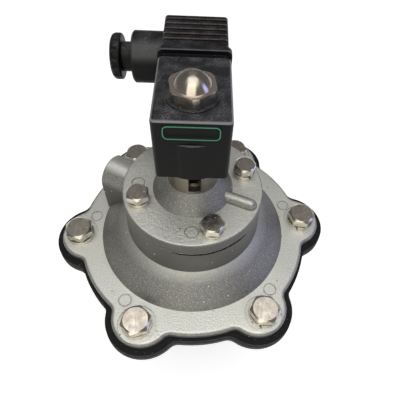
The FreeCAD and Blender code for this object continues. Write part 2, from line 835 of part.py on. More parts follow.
def stem_gasket():
    outer = stem_neck_radius - soft_clearance
    return ring(outer, stem_gasket_bore_radius, socket_floor_z, socket_floor_z + stem_gasket_thickness)


def plunger():
    body = upright(stem_bore_radius - plunger_clearance, plunger_bottom_z, plunger_top_z)
    seal_top = nozzle_top_z + plunger_seal_thickness
    seal_pocket = upright(plunger_seal_radius + soft_clearance, plunger_bottom_z, seal_top)
    spring_pocket = upright(plunger_pocket_radius, plunger_top_z - plunger_pocket_depth, plunger_top_z)
    return body.cut([seal_pocket, spring_pocket])


def plunger_seal():
    return upright(plunger_seal_radius, nozzle_top_z, nozzle_top_z + plunger_seal_thickness)


def plunger_spring():
    low = plunger_top_z - plunger_pocket_depth
    return coil_spring(plunger_spring_radius, plunger_spring_wire, plunger_spring_turns, low, core_bottom_z)


def fixed_core():
    core = upright(stem_bore_radius - core_fit_clearance, core_bottom_z, coil_top_z)
    stud = upright(core_stud_radius, coil_top_z, coil_top_z + core_stud_length)
    return core.fuse(stud).removeSplitter()


def coil():
    half = coil_width / 2
    block = box(Vector(-half, -coil_front, coil_base_z), Vector(half, coil_back, coil_top_z))
    upright_edges = [e for e in block.Edges if e.BoundBox.ZLength > coil_height / 2]
    block = block.makeFillet(coil_corner_radius, upright_edges)
    block = round_edges_at(block, coil_top_z, coil_edge_radius)
    block = round_edges_at(block, coil_base_z, coil_foot_radius)
    bulge = upright(coil_bulge_radius, coil_base_z, coil_base_z + coil_bulge_height)
    bulge = bulge.common(box(Vector(-half, -coil_bulge_radius, coil_base_z), Vector(half, 0, coil_top_z)))
    pad = upright(coil_pad_radius, coil_top_z, nut_base_z)
    solid = block.multiFuse([bulge, pad])
    bore = upright(stem_tube_radius + coil_bore_clearance, coil_base_z, nut_base_z)
    screw_hole = cylinder(plug_screw_radius, coil_screw_hole_depth,
                          Vector(0, coil_back - coil_screw_hole_depth, plug_axis_z), Vector(0, 1, 0))
    roots = [terminal_blade(x, z, 0) for x, z in terminal_places()]
    return solid.cut([bore, screw_hole] + roots).removeSplitter()


def terminal_places():
    half = terminal_spacing / 2
    return [(-half, plug_axis_z), (half, plug_axis_z), (0, plug_axis_z - earth_terminal_offset)]


def terminal_blade(x, z, reach):
    # The two side blades stand upright and the earth blade under them lies flat.
    wide = terminal_width / 2
    thin = terminal_thickness / 2
    across, up = (thin, wide) if abs(x) > 0 else (wide, thin)
    low = Vector(x - across, coil_back - terminal_root, z - up)
    return box(low, Vector(x + across, coil_back + reach, z + up))


def coil_terminals():
    return Part.makeCompound([terminal_blade(x, z, terminal_length) for x, z in terminal_places()])


def spherical_cap(radius, height, base_z):
    ball_radius = (radius ** 2 + height ** 2) / (2 * height)
    centre_z = base_z + height - ball_radius
    half_angle = math.atan2(radius, base_z - centre_z) / 2
    rim = Vector(radius, 0, base_z)
    middle = Vector(ball_radius * math.sin(half_angle), 0, centre_z + ball_radius * math.cos(half_angle))
    crown = Vector(0, 0, base_z + height)
    foot = Vector(0, 0, base_z)
    return revolve([Part.makeLine(foot, rim), Part.Arc(rim, middle, crown).toShape(), Part.makeLine(crown, foot)])


def coil_nut():
    top = nut_base_z + coil_nut_height
    body = hexagon_prism(coil_nut_across_flats, nut_base_z, top, coil_nut_turn)
    body = body.common(upright(coil_nut_corner_radius, nut_base_z, top))
    dome = spherical_cap(coil_nut_dome_radius, coil_nut_dome_height, top)
    thread = upright(core_stud_radius + coil_nut_thread_clearance, nut_base_z, nut_base_z + coil_nut_thread_depth)
    return body.fuse(dome).cut(thread).removeSplitter()


def rounded_block(width, corner, y_low, y_high):
    half = width / 2
    block = box(Vector(-half, y_low, plug_axis_z - half), Vector(half, y_high, plug_axis_z + half))
    return block.makeFillet(corner, [e for e in block.Edges if e.BoundBox.YLength > (y_high - y_low) / 2])


def plug_screw_bore(radius, y_low, y_high):
    return cylinder(radius, y_high - y_low, Vector(0, y_low, plug_axis_z), Vector(0, 1, 0))


def connector_gasket():
    gasket = rounded_block(gasket_width, plug_body_corner, coil_back, plug_face_y)
    windows = [terminal_blade(x, z, terminal_length) for x, z in terminal_places()]
    screw = plug_screw_bore(plug_screw_radius + soft_clearance, coil_back, plug_face_y)
    return gasket.cut(windows + [screw])


def gland_cylinder(radius, near, far):
    # Along -X from the plug's side, near and far counted from the valve's axis.
    return cylinder(radius, far - near, Vector(-near, gland_axis_y, gland_axis_z), Vector(-1, 0, 0))


def gland_boss():
    boss = gland_cylinder(gland_boss_radius, plug_body_width / 4, gland_boss_reach)
    rim = [e for e in boss.Edges if abs(e.BoundBox.XMax + gland_boss_reach) < 1e-4]
    return boss.makeChamfer(gland_boss_chamfer, rim)


def ribbed_plug_body():
    # Narrow ribs stand between shallow grooves that run across the top and the bottom face.
    body = rounded_block(plug_body_width, plug_body_corner, plug_body_y, plug_back_y)
    half = plug_body_width / 2
    reach = half + 1
    first = plug_body_y + plug_first_rib
    last_groove_end = plug_back_y - plug_groove_end
    count = int((last_groove_end - first - plug_rib_width / 2) / plug_rib_pitch) + 1
    ribs = [first + i * plug_rib_pitch for i in range(count)]
    starts = [first - plug_rib_pitch] + ribs
    ends = ribs + [last_groove_end + plug_rib_width / 2]
    grooves = []
    for start, end in zip(starts, ends):
        low = start + plug_rib_width / 2
        high = end - plug_rib_width / 2
        for side in (-1, 1):
            floor = plug_axis_z + side * (half - plug_rib_height)
            bottom, top = sorted((floor, floor + side))
            grooves.append(box(Vector(-reach, low, bottom), Vector(reach, high, top)))
    return body.cut(grooves)


def connector_housing():
    collar = rounded_block(plug_collar_width, plug_collar_corner, plug_face_y, plug_body_y)
    back_rim = [e for e in collar.Edges if abs(e.BoundBox.YMin - plug_body_y) < 1e-4]
    collar = collar.makeFillet(plug_edge_fillet, back_rim)
    solid = collar.multiFuse([ribbed_plug_body(), gland_boss()])
    hollow_width = plug_body_width - 2 * plug_wall
    hollow = rounded_block(hollow_width, plug_body_corner, plug_face_y, plug_back_y - plug_wall)
    clearance = plug_screw_radius + plug_screw_clearance
    screw = plug_screw_bore(clearance, plug_face_y, plug_back_y)
    recess = plug_screw_bore(plug_screw_head_radius + plug_screw_clearance, plug_back_y - plug_screw_recess,
                             plug_back_y)
    thread_end = gland_boss_reach - gland_thread_depth
    inner_end = thread_end - gland_washer_thickness - grommet_length
    gland_bore = gland_cylinder(gland_thread_radius + gland_thread_clearance, inner_end, gland_boss_reach)
    cable_way = gland_cylinder(cable_way_radius, hollow_width / 4, inner_end)
    return solid.cut([hollow, screw, recess, gland_bore, cable_way]).removeSplitter()


def terminal_block():
    width = plug_body_width - 2 * plug_wall - 2 * block_clearance
    block = rounded_block(width, plug_body_corner, plug_face_y, plug_face_y + block_depth)
    wide = terminal_width / 2 + block_slot_clearance
    thin = terminal_thickness / 2 + block_slot_clearance
    slot_end = coil_back + terminal_length + block_slot_clearance
    cutters = [plug_screw_bore(plug_screw_radius + plug_screw_clearance, plug_face_y, plug_face_y + block_depth)]
    for x, z in terminal_places():
        across, up = (thin, wide) if abs(x) > 0 else (wide, thin)
        cutters.append(box(Vector(x - across, plug_face_y, z - up), Vector(x + across, slot_end, z + up)))
    return block.cut(cutters)


def connector_screw():
    head_y = plug_back_y - plug_screw_recess
    tip_y = coil_back - coil_screw_hole_depth + 1
    shank = plug_screw_bore(plug_screw_radius - thread_clearance, tip_y, head_y)
    head = plug_screw_bore(plug_screw_head_radius, head_y, head_y + plug_screw_head_height)
    slot_top = head_y + plug_screw_head_height
    slot = box(Vector(-plug_screw_head_radius, slot_top - 0.8, plug_axis_z - 0.4),
               Vector(plug_screw_head_radius, slot_top, plug_axis_z + 0.4))
    return shank.fuse(head).cut(slot).removeSplitter()


def gland_nut():
    near = gland_boss_reach + gland_gap
    far = near + gland_nut_length
    head = gland_cylinder(gland_nut_radius, near, far)
    outer_rim = [e for e in head.Edges if abs(e.BoundBox.XMax + far) < 1e-4]
    head = head.makeFillet(gland_nut_edge_radius, outer_rim)
    inner_rim = [e for e in head.Edges if abs(e.BoundBox.XMin + near) < 1e-4]
    head = head.makeFillet(gland_nut_inner_edge, inner_rim)
    flute_offset = gland_nut_radius + gland_flute_radius - gland_flute_depth
    flutes = []
    for i in range(gland_flute_count):
        turn = math.radians(i * 360.0 / gland_flute_count + gland_flute_turn)
        centre = Vector(-(far - gland_flute_length), gland_axis_y + flute_offset * math.cos(turn),
                        gland_axis_z + flute_offset * math.sin(turn))
        flutes.append(cylinder(gland_flute_radius, gland_flute_length + 1, centre, Vector(-1, 0, 0)))
    head = head.cut(flutes)
    thread = gland_cylinder(gland_thread_radius, gland_boss_reach - gland_thread_depth, near)
    bore = gland_cylinder(cable_bore_radius, gland_boss_reach - gland_thread_depth, far)
    return head.fuse(thread).cut(bore).removeSplitter()


def gland_washer():
    far = gland_boss_reach - gland_thread_depth
    near = far - gland_washer_thickness
    return gland_cylinder(gland_thread_radius, near, far).cut(gland_cylinder(cable_way_radius, near, far))


def gland_grommet():
    far = gland_boss_reach - gland_thread_depth - gland_washer_thickness
    near = far - grommet_length
    outer = gland_thread_radius - soft_clearance
    return gland_cylinder(outer, near, far).cut(gland_cylinder(grommet_bore_radius, near, far))


sub_parts = {
    "lower_body": lower_body,
    "main_diaphragm": main_diaphragm,
    "main_top_plate": main_top_plate,
    "main_bottom_plate": main_bottom_plate,
    "main_plate_bolt": main_plate_bolt,
    "main_plate_nut": main_plate_nut,
    "main_spring": main_spring,
    "bonnet": bonnet,
    "flange_bolts": flange_bolts,
    "flange_spring_washers": flange_spring_washers,
    "pilot_diaphragm": pilot_diaphragm,
    "pilot_plate": pilot_plate,
    "pilot_rivet": pilot_rivet,
    "pilot_spring": pilot_spring,
    "pilot_cover": pilot_cover,
    "cover_bolts": cover_bolts,
    "cover_spring_washers": cover_spring_washers,
    "exhaust_collar": exhaust_collar,
    "core_tube": core_tube,
    "stem_gasket": stem_gasket,
    "plunger": plunger,
    "plunger_seal": plunger_seal,
    "plunger_spring": plunger_spring,
    "fixed_core": fixed_core,
    "coil": coil,
    "coil_terminals": coil_terminals,
    "coil_nut": coil_nut,
    "connector_gasket": connector_gasket,
    "connector_housing": connector_housing,
    "terminal_block": terminal_block,
    "connector_screw": connector_screw,
    "gland_nut": gland_nut,
    "gland_washer": gland_washer,
    "gland_grommet": gland_grommet,
}

os.makedirs("parts", exist_ok=True)
for node, make in sub_parts.items():
    shape = make()
    shape.exportStep("parts/" + node + ".step")
    print(node, shape.isValid(), len(shape.Solids), round(shape.Volume, 1))
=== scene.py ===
import math

import bmesh
import bpy
from bpy.props import FloatProperty, FloatVectorProperty, IntProperty, PointerProperty
from mathutils import Matrix, Vector, noise


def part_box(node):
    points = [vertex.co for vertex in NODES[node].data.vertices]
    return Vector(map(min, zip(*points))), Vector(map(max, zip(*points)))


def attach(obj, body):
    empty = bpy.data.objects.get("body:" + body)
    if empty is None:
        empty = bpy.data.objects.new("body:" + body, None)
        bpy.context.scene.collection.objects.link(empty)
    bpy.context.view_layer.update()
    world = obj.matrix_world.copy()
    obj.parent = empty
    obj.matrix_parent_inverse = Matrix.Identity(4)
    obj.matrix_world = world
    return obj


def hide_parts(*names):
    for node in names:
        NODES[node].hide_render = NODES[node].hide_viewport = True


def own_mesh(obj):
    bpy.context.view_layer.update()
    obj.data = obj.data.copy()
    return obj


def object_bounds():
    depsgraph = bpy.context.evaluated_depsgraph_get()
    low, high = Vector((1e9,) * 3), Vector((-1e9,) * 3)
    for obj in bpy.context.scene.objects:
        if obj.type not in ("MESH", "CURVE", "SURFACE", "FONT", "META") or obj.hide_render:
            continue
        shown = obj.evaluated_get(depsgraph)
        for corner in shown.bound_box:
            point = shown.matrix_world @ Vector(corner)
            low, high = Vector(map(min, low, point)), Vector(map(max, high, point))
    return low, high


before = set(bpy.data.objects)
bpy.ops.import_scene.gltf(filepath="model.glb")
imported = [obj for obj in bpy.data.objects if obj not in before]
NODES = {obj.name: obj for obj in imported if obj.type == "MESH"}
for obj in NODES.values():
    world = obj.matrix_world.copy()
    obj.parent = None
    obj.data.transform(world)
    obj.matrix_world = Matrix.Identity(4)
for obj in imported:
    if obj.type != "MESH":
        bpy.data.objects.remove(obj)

bl_info = {
    "name": "Pulse valve",
    "version": (1, 0, 0),
    "blender": (4, 5, 0),
    "location": "3D View > Sidebar > Pulse valve",
    "description": "Dresses a two-stage diaphragm pulse valve and sets up its studio",
    "category": "Object",
}

MM = 0.001
CAD_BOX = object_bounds()
UP = Vector((0, 0, 1))

# Radii to which the shaders round the edges that each process leaves.
PRINTED_EDGE = 0.02 * MM
MACHINED_EDGE = 0.1 * MM
RUBBER_EDGE = 0.2 * MM
CAST_EDGE = 0.3 * MM
MOULDED_EDGE = 0.4 * MM
COATED_EDGE = 0.5 * MM

# How deep the foot of a ridge or bar lies in the wall that it stands on.
RIDGE_FOOT = 0.1 * MM
MARK_FOOT = 0.02 * MM


def linear(hexa):
    """Linear red, green and blue of an sRGB hex value."""
    parts = [int(hexa[i:i + 2], 16) / 255 for i in (1, 3, 5)]
    return tuple(p / 12.92 if p <= 0.04045 else ((p + 0.055) / 1.055) ** 2.4 for p in parts)


def colour(name, description, hexa):
    return FloatVectorProperty(
        name=name, description=description, default=linear(hexa), subtype="COLOR", size=3,
        min=0.0, max=1.0
    )


def length(name, description, millimetres):
    return FloatProperty(
        name=name, description=description, default=millimetres * MM, min=0.0, unit="LENGTH",
        precision=5
    )


def place(name, description, metres):
    return FloatVectorProperty(
        name=name, description=description, default=metres, subtype="TRANSLATION", unit="LENGTH"
    )


def factor(name, description, default):
    return FloatProperty(
        name=name, description=description, default=default, min=0.0, max=1.0, subtype="FACTOR"
    )


def shift(name, description, default):
    return FloatProperty(
        name=name, description=description, default=default, min=-1.0, max=1.0, subtype="FACTOR"
    )


def angle(name, description, degrees):
    return FloatProperty(
        name=name, description=description, default=math.radians(degrees), unit="ROTATION"
    )


def power(name, description, watts):
    return FloatProperty(
        name=name, description=description, default=watts, min=0.0, unit="POWER"
    )


class CastingSettings(bpy.types.PropertyGroup):
    # The metal, sloping and wall colours are one blasted skin: a painted highlight on the level
    # faces, painted shade on the sloping faces and the vertical walls.
    metal: colour("Metal", "Blasted aluminium on the level faces", "#F7F7F0")
    slope: colour("Slope", "Duller blasted skin of the sloping faces", "#989895")
    shaded_upright: colour("Upright", "As-cast skin of the upright walls", "#747471")
    stain: colour("Stain", "Cloudy patches on the cast skin", "#A9A69C")
    dimple: colour("Dimple", "Bottom of a dimple", "#4E4E4B")
    # Besides the pits, this colour darkens the tucked-in corners as painted shade.
    pit_and_corner_shade: colour("Pit", "Dark pit in the cast skin", "#5B5952")
    glint: colour("Glint", "Bright speck on the cast skin", "#F4F3EE")
    coating: colour("Coating", "Powder coating of the lower body", "#161617")
    peel: colour("Peel", "Paler grain of the powder coating", "#262627")
    coating_dust: colour("Coating dust", "Dust on the powder coating", "#8A8A8A")
    machined: colour("Machined", "Bare machined aluminium of the ports", "#C6C4BC")
    grain: length("Grain", "Distance between the dimples as drawn", 0.8)
    relief: length("Relief", "Height of the blasted grain", 0.08)
    peel_relief: length("Peel relief", "Height of the coating's orange peel", 0.06)
    glint_relief: length("Glint relief", "Height of a bright speck", 0.25)
    cloud: length("Cloud", "Width of a cloudy patch", 22.0)
    speck_spacing: length("Speck spacing", "Distance between the bright specks", 5.5)
    speck_size: length("Speck size", "Radius of a bright speck", 0.5)
    roughness: factor("Roughness", "Roughness of the level faces", 0.48)
    slope_roughness: factor("Slope roughness", "Roughness of the other faces", 0.66)
    coating_roughness: factor("Coating roughness", "Roughness of the powder coating", 0.6)
    machined_roughness: factor("Machined roughness", "Roughness of the bare ports", 0.32)


class SteelSettings(bpy.types.PropertyGroup):
    zinc: colour("Zinc", "Zinc-plated bolts and washers", "#D4CFC4")
    blush: colour("Blush", "Warm cast on some of the bolt heads", "#C09F90")
    zinc_worn: colour("Worn zinc", "Duller patches of the plating", "#8F887C")
    # Painted shade laid into the corners round the heads and washers.
    bolt_corner_shade: colour("Grime", "Dirt in the corners round the heads and washers", "#3B362F")
    nickel: colour("Nickel", "Nickel plating on the nut's dome and sides", "#C9BFB2")
    # A brighter, pinker copy of the plating laid on the flat face: a painted highlight.
    nickel_face_highlight: colour("Nickel face", "Nickel plating on the nut's flat face", "#F4E4D8")
    stainless: colour("Stainless", "Turned stainless steel", "#B9B5AE")
    spring: colour("Spring", "Drawn spring wire", "#A9A6A1")
    zinc_roughness: factor("Zinc roughness", "Roughness of the zinc plating", 0.25)
    nickel_roughness: factor("Nickel roughness", "Roughness of the turned nickel plating", 0.22)
    mark_height: length("Mark height", "Height of the raised marks on a bolt head", 0.1)
    mark_length: length("Mark length", "Length of a mark on the face named below", 1.2)
    mark_width: length("Mark width", "Width of a raised mark", 0.45)
    mark_face: length("Mark face", "Radius of the face on which a mark has its length", 5.5)
    mark_spread: angle("Mark spread", "One step round the head between marks", 24.064)
    head_turn: angle("Head turn", "How far each head lies turned past the last", 131.780)


class CoilSettings(bpy.types.PropertyGroup):
    resin: colour("Resin", "Moulded body of the coil", "#0D0E0F")
    dust: colour("Dust", "Pale dust that lies on the upper faces", "#85858B")
    print: colour("Print", "Ink of the printed frame", "#3C8F6C")
    thin_print: colour("Thin print", "Ink where the film is thin", "#1F5A42")
    # Laid on rounded edges that face up: partly rubbing, partly a painted highlight.
    scuff_and_highlight: colour("Scuff", "Rubbed edges", "#9C9DA2")
    grit: length("Grit", "Width of the dust specks as drawn", 0.55)
    # The band is laid on in the dust colour: partly dust, partly a painted highlight of the front
    # edge.
    rim_dust_and_highlight_width: length("Rim width", "Width of the paler rim along the front of the top", 2.4)
    frame_width: length("Frame width", "Outer width of the printed frame", 21.1)
    frame_height: length("Frame height", "Outer height of the printed frame", 6.4)
    frame_drop: length("Frame drop", "From the coil's top to the frame's top", 1.6)
    frame_corner: length("Frame corner", "Outer corner radius of the printed frame", 2.0)
    frame_line: length("Frame line", "Width of the printed line", 0.42)
    frame_film: length("Frame film", "How far the ink stands in front of the coil", 0.03)


class PlugSettings(bpy.types.PropertyGroup):
    plastic: colour("Plastic", "Moulded plastic of the connector and its gland", "#0B0B0C")
    brass: colour("Brass", "Terminal metal", "#C9A464")
    tin: colour("Tin", "Tinned patches of the terminals", "#C6C3BC")
    # Laid on the rib crests: partly scuffing, partly painted highlights.
    scuff_and_highlight: colour("Scuff", "Scuffed crests of the ribs", "#8E8078")
    # The band at the mouth is laid on in the dust colour: partly dust, partly a painted highlight
    # of the collar's front edge.
    rim_dust_and_highlight_width: length("Rim width", "Width of the paler rim at the housing's mouth", 1.0)
    first_rib: length("First rib", "From the housing's mouth to the first rib's middle", 10.6)
    collar_step: length("Collar step", "How far the collar stands out past the ribs", 1.3)
    rib_pitch: length("Rib pitch", "Distance between the ribs", 3.94)
    rubber: colour("Rubber", "Gaskets and grommets", "#141415")
    diaphragm: colour("Diaphragm", "Moulded diaphragm rubber", "#121213")
    bloom: colour("Bloom", "Grey bloom on the rubber", "#3A3938")
    crumb: colour("Crumb", "Pale crumbs on the rubber", "#77777A")
    collar: colour("Collar", "Dull turned aluminium of the exhaust collar", "#827D74")
    membrane_reach: length("Membrane reach", "Radius of the main diaphragm's moving part", 45.6)
    squeeze: length("Squeeze", "How far the pilot diaphragm is squeezed out", 0.65)
    squeeze_start: angle("Squeeze start", "Where the squeezed rubber starts, from +X", -105.0)
    squeeze_end: angle("Squeeze end", "Where the squeezed rubber ends, from +X", -40.0)


class PortSettings(bpy.types.PropertyGroup):
    pitch: length("Pitch", "Pitch of the port thread", 2.309)
    height: length("Height", "Height of the thread ridge that stands in the bore", 0.55)
    start: length("Start", "From the port's end face to the start of the ridge", 1.4)
    bore: length("Bore", "Radius of the port bore", 22.4)
    face: length("Face", "Radius of the machined end face", 31.0)
    depth: length("Depth", "Depth of the machined bore", 21.0)
    inlet: place("Inlet", "Centre of the inlet's end face", (0.0, 0.075, 0.047))
    turns: IntProperty(name="Turns", description="Turns of thread in each port", default=7, min=1)


class StudioSettings(bpy.types.PropertyGroup):
    floor: colour("Floor", "Plain pale floor", "#E8E8E8")
    floor_width: length("Floor width", "Width of the round floor", 6000.0)
    floor_gap: length("Floor gap", "Gap between the valve and the floor", 0.3)
    floor_glow: factor("Floor glow", "Light that the floor adds where it is seen", 0.6)
    camera_place: place("Camera place", "Where the camera stands", (0.0038, -0.1171, 0.2750))
    yaw: angle("Yaw", "Turn of the view to the right of +Y", 2.42)
    pitch: angle("Pitch", "Tilt of the view above the horizon", -54.56)
    roll: angle("Roll", "Turn of the camera about its own axis", 3.44)
    lens: FloatProperty(name="Lens", description="Focal length", default=33.5, unit="CAMERA")
    shift_x: shift("Shift X", "Sideways shift as a share of the frame", -0.0041)
    shift_y: shift("Shift Y", "Upward shift as a share of the frame", -0.0011)
    near_clip: length("Near clip", "Nearest distance that the camera shows", 10.0)
    aim: place("Aim", "Point that the lamps face", (0.0, 0.0, 0.1))
    lamp_distance: length("Lamp distance", "Distance of the lamps from that point", 1200.0)
    overhead_power: power("Overhead power", "Power of the softbox above", 3.3)
    overhead_tint: colour("Overhead tint", "Colour of the softbox above", "#FFFFFA")
    front_power: power("Front power", "Power of the window in front", 7.2)
    front_tint: colour("Front tint", "Colour of the window in front", "#FFFCEE")
    side_power: power("Side power", "Power of the window at the right", 2.0)
    side_tint: colour("Side tint", "Colour of the window at the right", "#AEB5FF")


def add_node(tree, kind, inputs=None, **settings):
    """Adds a node, sets its settings, and fills or links its inputs."""
    made = tree.nodes.new(kind)
    for name, value in settings.items():
        setattr(made, name, value)
    for name, value in (inputs or {}).items():
        if isinstance(value, bpy.types.NodeSocket):
            tree.links.new(value, made.inputs[name])
        else:
            made.inputs[name].default_value = value
    return made


def new_material(name):
    """A material with an empty tree, and the object's own coordinates in metres."""
    material = bpy.data.materials.new(name)
    material.use_nodes = True
    tree = material.node_tree
    tree.nodes.clear()
    return material, tree, add_node(tree, "ShaderNodeTexCoord")


def opaque(rgb):
    return (*rgb, 1.0)


def pattern(tree, here, size, low, high, detail=2.0):
    """Noise of a real size in metres, spread from 0 to 1 between its levels low and high."""
    clouds = add_node(
        tree, "ShaderNodeTexNoise", {"Vector": here, "Scale": 1 / size, "Detail": detail}
    )
    levels = {"Value": clouds.outputs["Fac"], "From Min": low, "From Max": high}
    return add_node(tree, "ShaderNodeMapRange", levels).outputs["Result"]


def specks(tree, here, spacing, size):
    """Sparse round specks: 1 in the middle of a speck, fading to 0 at its radius."""
    cells = add_node(tree, "ShaderNodeTexVoronoi", {"Vector": here, "Scale": 1 / spacing})
    rim = size / spacing
    levels = {"Value": cells.outputs["Distance"], "From Min": rim, "From Max": 0.4 * rim}
    return add_node(tree, "ShaderNodeMapRange", levels).outputs["Result"]


def facing_up(tree, coords, low, high):
    """How far the surface faces up: 0 where its normal rises by low, 1 where it rises by high."""
    normal = add_node(tree, "ShaderNodeSeparateXYZ", {"Vector": coords.outputs["Normal"]})
    levels = {"Value": normal.outputs["Z"], "From Min": low, "From Max": high}
    return add_node(tree, "ShaderNodeMapRange", levels).outputs["Result"]


# Its mask lays painted shade into corners.
def tucked_in(tree, reach):
    """How far a spot is tucked in between its neighbours: 0 in the open, 1 deep in a corner."""
    sky = add_node(tree, "ShaderNodeAmbientOcclusion", {"Distance": reach}, samples=8)
    levels = {"Value": sky.outputs["AO"], "From Min": 0.75, "From Max": 0.3}
    return add_node(tree, "ShaderNodeMapRange", levels).outputs["Result"]


def layered(tree, base, *coats):
    """Lays colours over a base one after the other, each through its own mask and strength."""
    tone = opaque(base)
    for mask, strength, rgb in coats:
        share = add_node(tree, "ShaderNodeMath", {0: mask, 1: strength}, operation="MULTIPLY")
        # In a Mix node of colours, inputs 6 and 7 and output 2 are the colours.
        blend = {0: share.outputs[0], 6: tone, 7: opaque(rgb)}
        tone = add_node(tree, "ShaderNodeMix", blend, data_type="RGBA").outputs[2]
    return tone


def close_surface(tree, edge, reliefs, **inputs):
    """Rounds the edges, adds bumps of real heights, and ends the tree with one shader."""
    normal = add_node(tree, "ShaderNodeBevel", {"Radius": edge}, samples=4).outputs[0]
    for height, distance in reliefs:
        levels = {"Height": height, "Distance": distance, "Strength": 1.0, "Normal": normal}
        normal = add_node(tree, "ShaderNodeBump", levels).outputs["Normal"]
    inputs = {name.replace("_", " "): value for name, value in inputs.items()}
    shader = add_node(tree, "ShaderNodeBsdfPrincipled", {**inputs, "Normal": normal})
    add_node(tree, "ShaderNodeOutputMaterial", {"Surface": shader.outputs["BSDF"]})


def blasted_aluminium(settings):
    # Die-cast aluminium, shot-blasted: pale grey, with dimples that spread each glint.
    # The real dimples are about 0.3 mm wide; they are drawn at 0.8 mm so that they show.
    material, tree, coords = new_material("cast_aluminium_shot_blasted")
    here = coords.outputs["Object"]
    grain = pattern(tree, here, settings.grain, low=0.3, high=0.7, detail=3.0)
    cloud = pattern(tree, here, settings.cloud, low=0.35, high=0.7)
    bright = specks(tree, here, settings.speck_spacing, settings.speck_size)
    dark = specks(tree, here, 1.3 * settings.speck_spacing, settings.speck_size)
    sloping = facing_up(tree, coords, 0.1, 0.5)
    level = facing_up(tree, coords, 0.8, 0.99)
    slope = add_node(tree, "ShaderNodeMath", {0: sloping, 1: level}, operation="SUBTRACT")
    shine, rough_spot = (
        add_node(
            tree, "ShaderNodeMath", {0: spots, 1: slope.outputs[0]}, operation="MULTIPLY"
        ).outputs[0]
        for spots in (
            pattern(tree, here, 0.7 * settings.grain, low=0.5, high=0.68, detail=4.0),
            pattern(tree, here, 2.5 * settings.grain, low=0.55, high=0.8),
        )
    )
    # Painted light: the level faces take the bright metal colour as a painted highlight, and the
    # sloping faces and vertical walls take darker colours as painted shade. Shine paints highlight
    # spots on the sloping faces, and the glint specks are painted highlights.
    metal = layered(
        tree, settings.shaded_upright,
        (sloping, 1.0, settings.slope),
        (level, 1.0, settings.metal),
        (cloud, 0.15, settings.stain),
        (grain, 0.18, settings.dimple),
        (rough_spot, 0.5, settings.stain),
        (shine, 0.35, settings.metal),
        (dark, 1.0, settings.pit_and_corner_shade),
        (bright, 1.0, settings.glint),
        # The pits' colour laid in the tucked-in corners is painted shade.
        (tucked_in(tree, 1.0 * MM), 0.3, settings.pit_and_corner_shade)
    )
    rough = {"Value": level, "To Min": settings.slope_roughness, "To Max": settings.roughness}
    rough = add_node(tree, "ShaderNodeMapRange", rough).outputs["Result"]
    reliefs = ((grain, settings.relief), (bright, settings.glint_relief))
    close_surface(tree, CAST_EDGE, reliefs, Base_Color=metal, Metallic=1.0, Roughness=rough)
    return material


def coated_casting(settings, ports):
    # Die-cast aluminium, powder-coated: near black with a fine orange peel.
    # The machined port ends and bores stay bare and bright.
    material, tree, coords = new_material("cast_aluminium_powder_coated")
    here = coords.outputs["Object"]
    bare = 0.0
    # The way into each port, the plane across it, and the centre of its end face.
    outlet = ("Z", 1.0, (1, 1, 0), (0, 0, 0))
    inlet = ("Y", -1.0, (1, 0, 1), ports.inlet)
    for axis, inward, across, centre in (outlet, inlet):
        moved = add_node(
            tree, "ShaderNodeVectorMath", {0: here, 1: centre}, operation="SUBTRACT"
        ).outputs[0]
        flat = add_node(
            tree, "ShaderNodeVectorMath", {0: moved, 1: across}, operation="MULTIPLY"
        ).outputs[0]
        radius = add_node(
            tree, "ShaderNodeVectorMath", {0: flat}, operation="LENGTH"
        ).outputs["Value"]
        along = add_node(tree, "ShaderNodeSeparateXYZ", {"Vector": moved}).outputs[axis]
        depth = add_node(
            tree, "ShaderNodeMath", {0: along, 1: inward}, operation="MULTIPLY"
        ).outputs[0]
        # Bare where both tests of a pair hold: in the bore, or on the end face.
        in_bore = ((radius, ports.bore + 0.4 * MM), (depth, ports.depth))
        on_face = ((depth, 0.05 * MM), (radius, ports.face))
        for pair in (in_bore, on_face):
            first, second = (
                add_node(
                    tree, "ShaderNodeMath", {0: measure, 1: limit}, operation="LESS_THAN"
                ).outputs[0]
                for measure, limit in pair
            )
            found = add_node(
                tree, "ShaderNodeMath", {0: first, 1: second}, operation="MULTIPLY"
            ).outputs[0]
            bare = add_node(
                tree, "ShaderNodeMath", {0: found, 1: bare}, operation="MAXIMUM"
            ).outputs[0]
    grain = pattern(tree, here, settings.grain, low=0.3, high=0.7, detail=3.0)
    dust = specks(tree, here, 2.0 * MM, 0.3 * MM)
    skin = layered(
        tree, settings.coating,
        (grain, 0.4, settings.peel),
        (dust, 0.5, settings.coating_dust),
        (bare, 1.0, settings.machined)
    )
    rough = {
        "Value": bare, "To Min": settings.coating_roughness, "To Max": settings.machined_roughness
    }
    rough = add_node(tree, "ShaderNodeMapRange", rough).outputs["Result"]
    close_surface(
        tree, COATED_EDGE, ((grain, settings.peel_relief),),
        Base_Color=skin, Metallic=bare, Roughness=rough, Specular_IOR_Level=0.3
    )
    return material


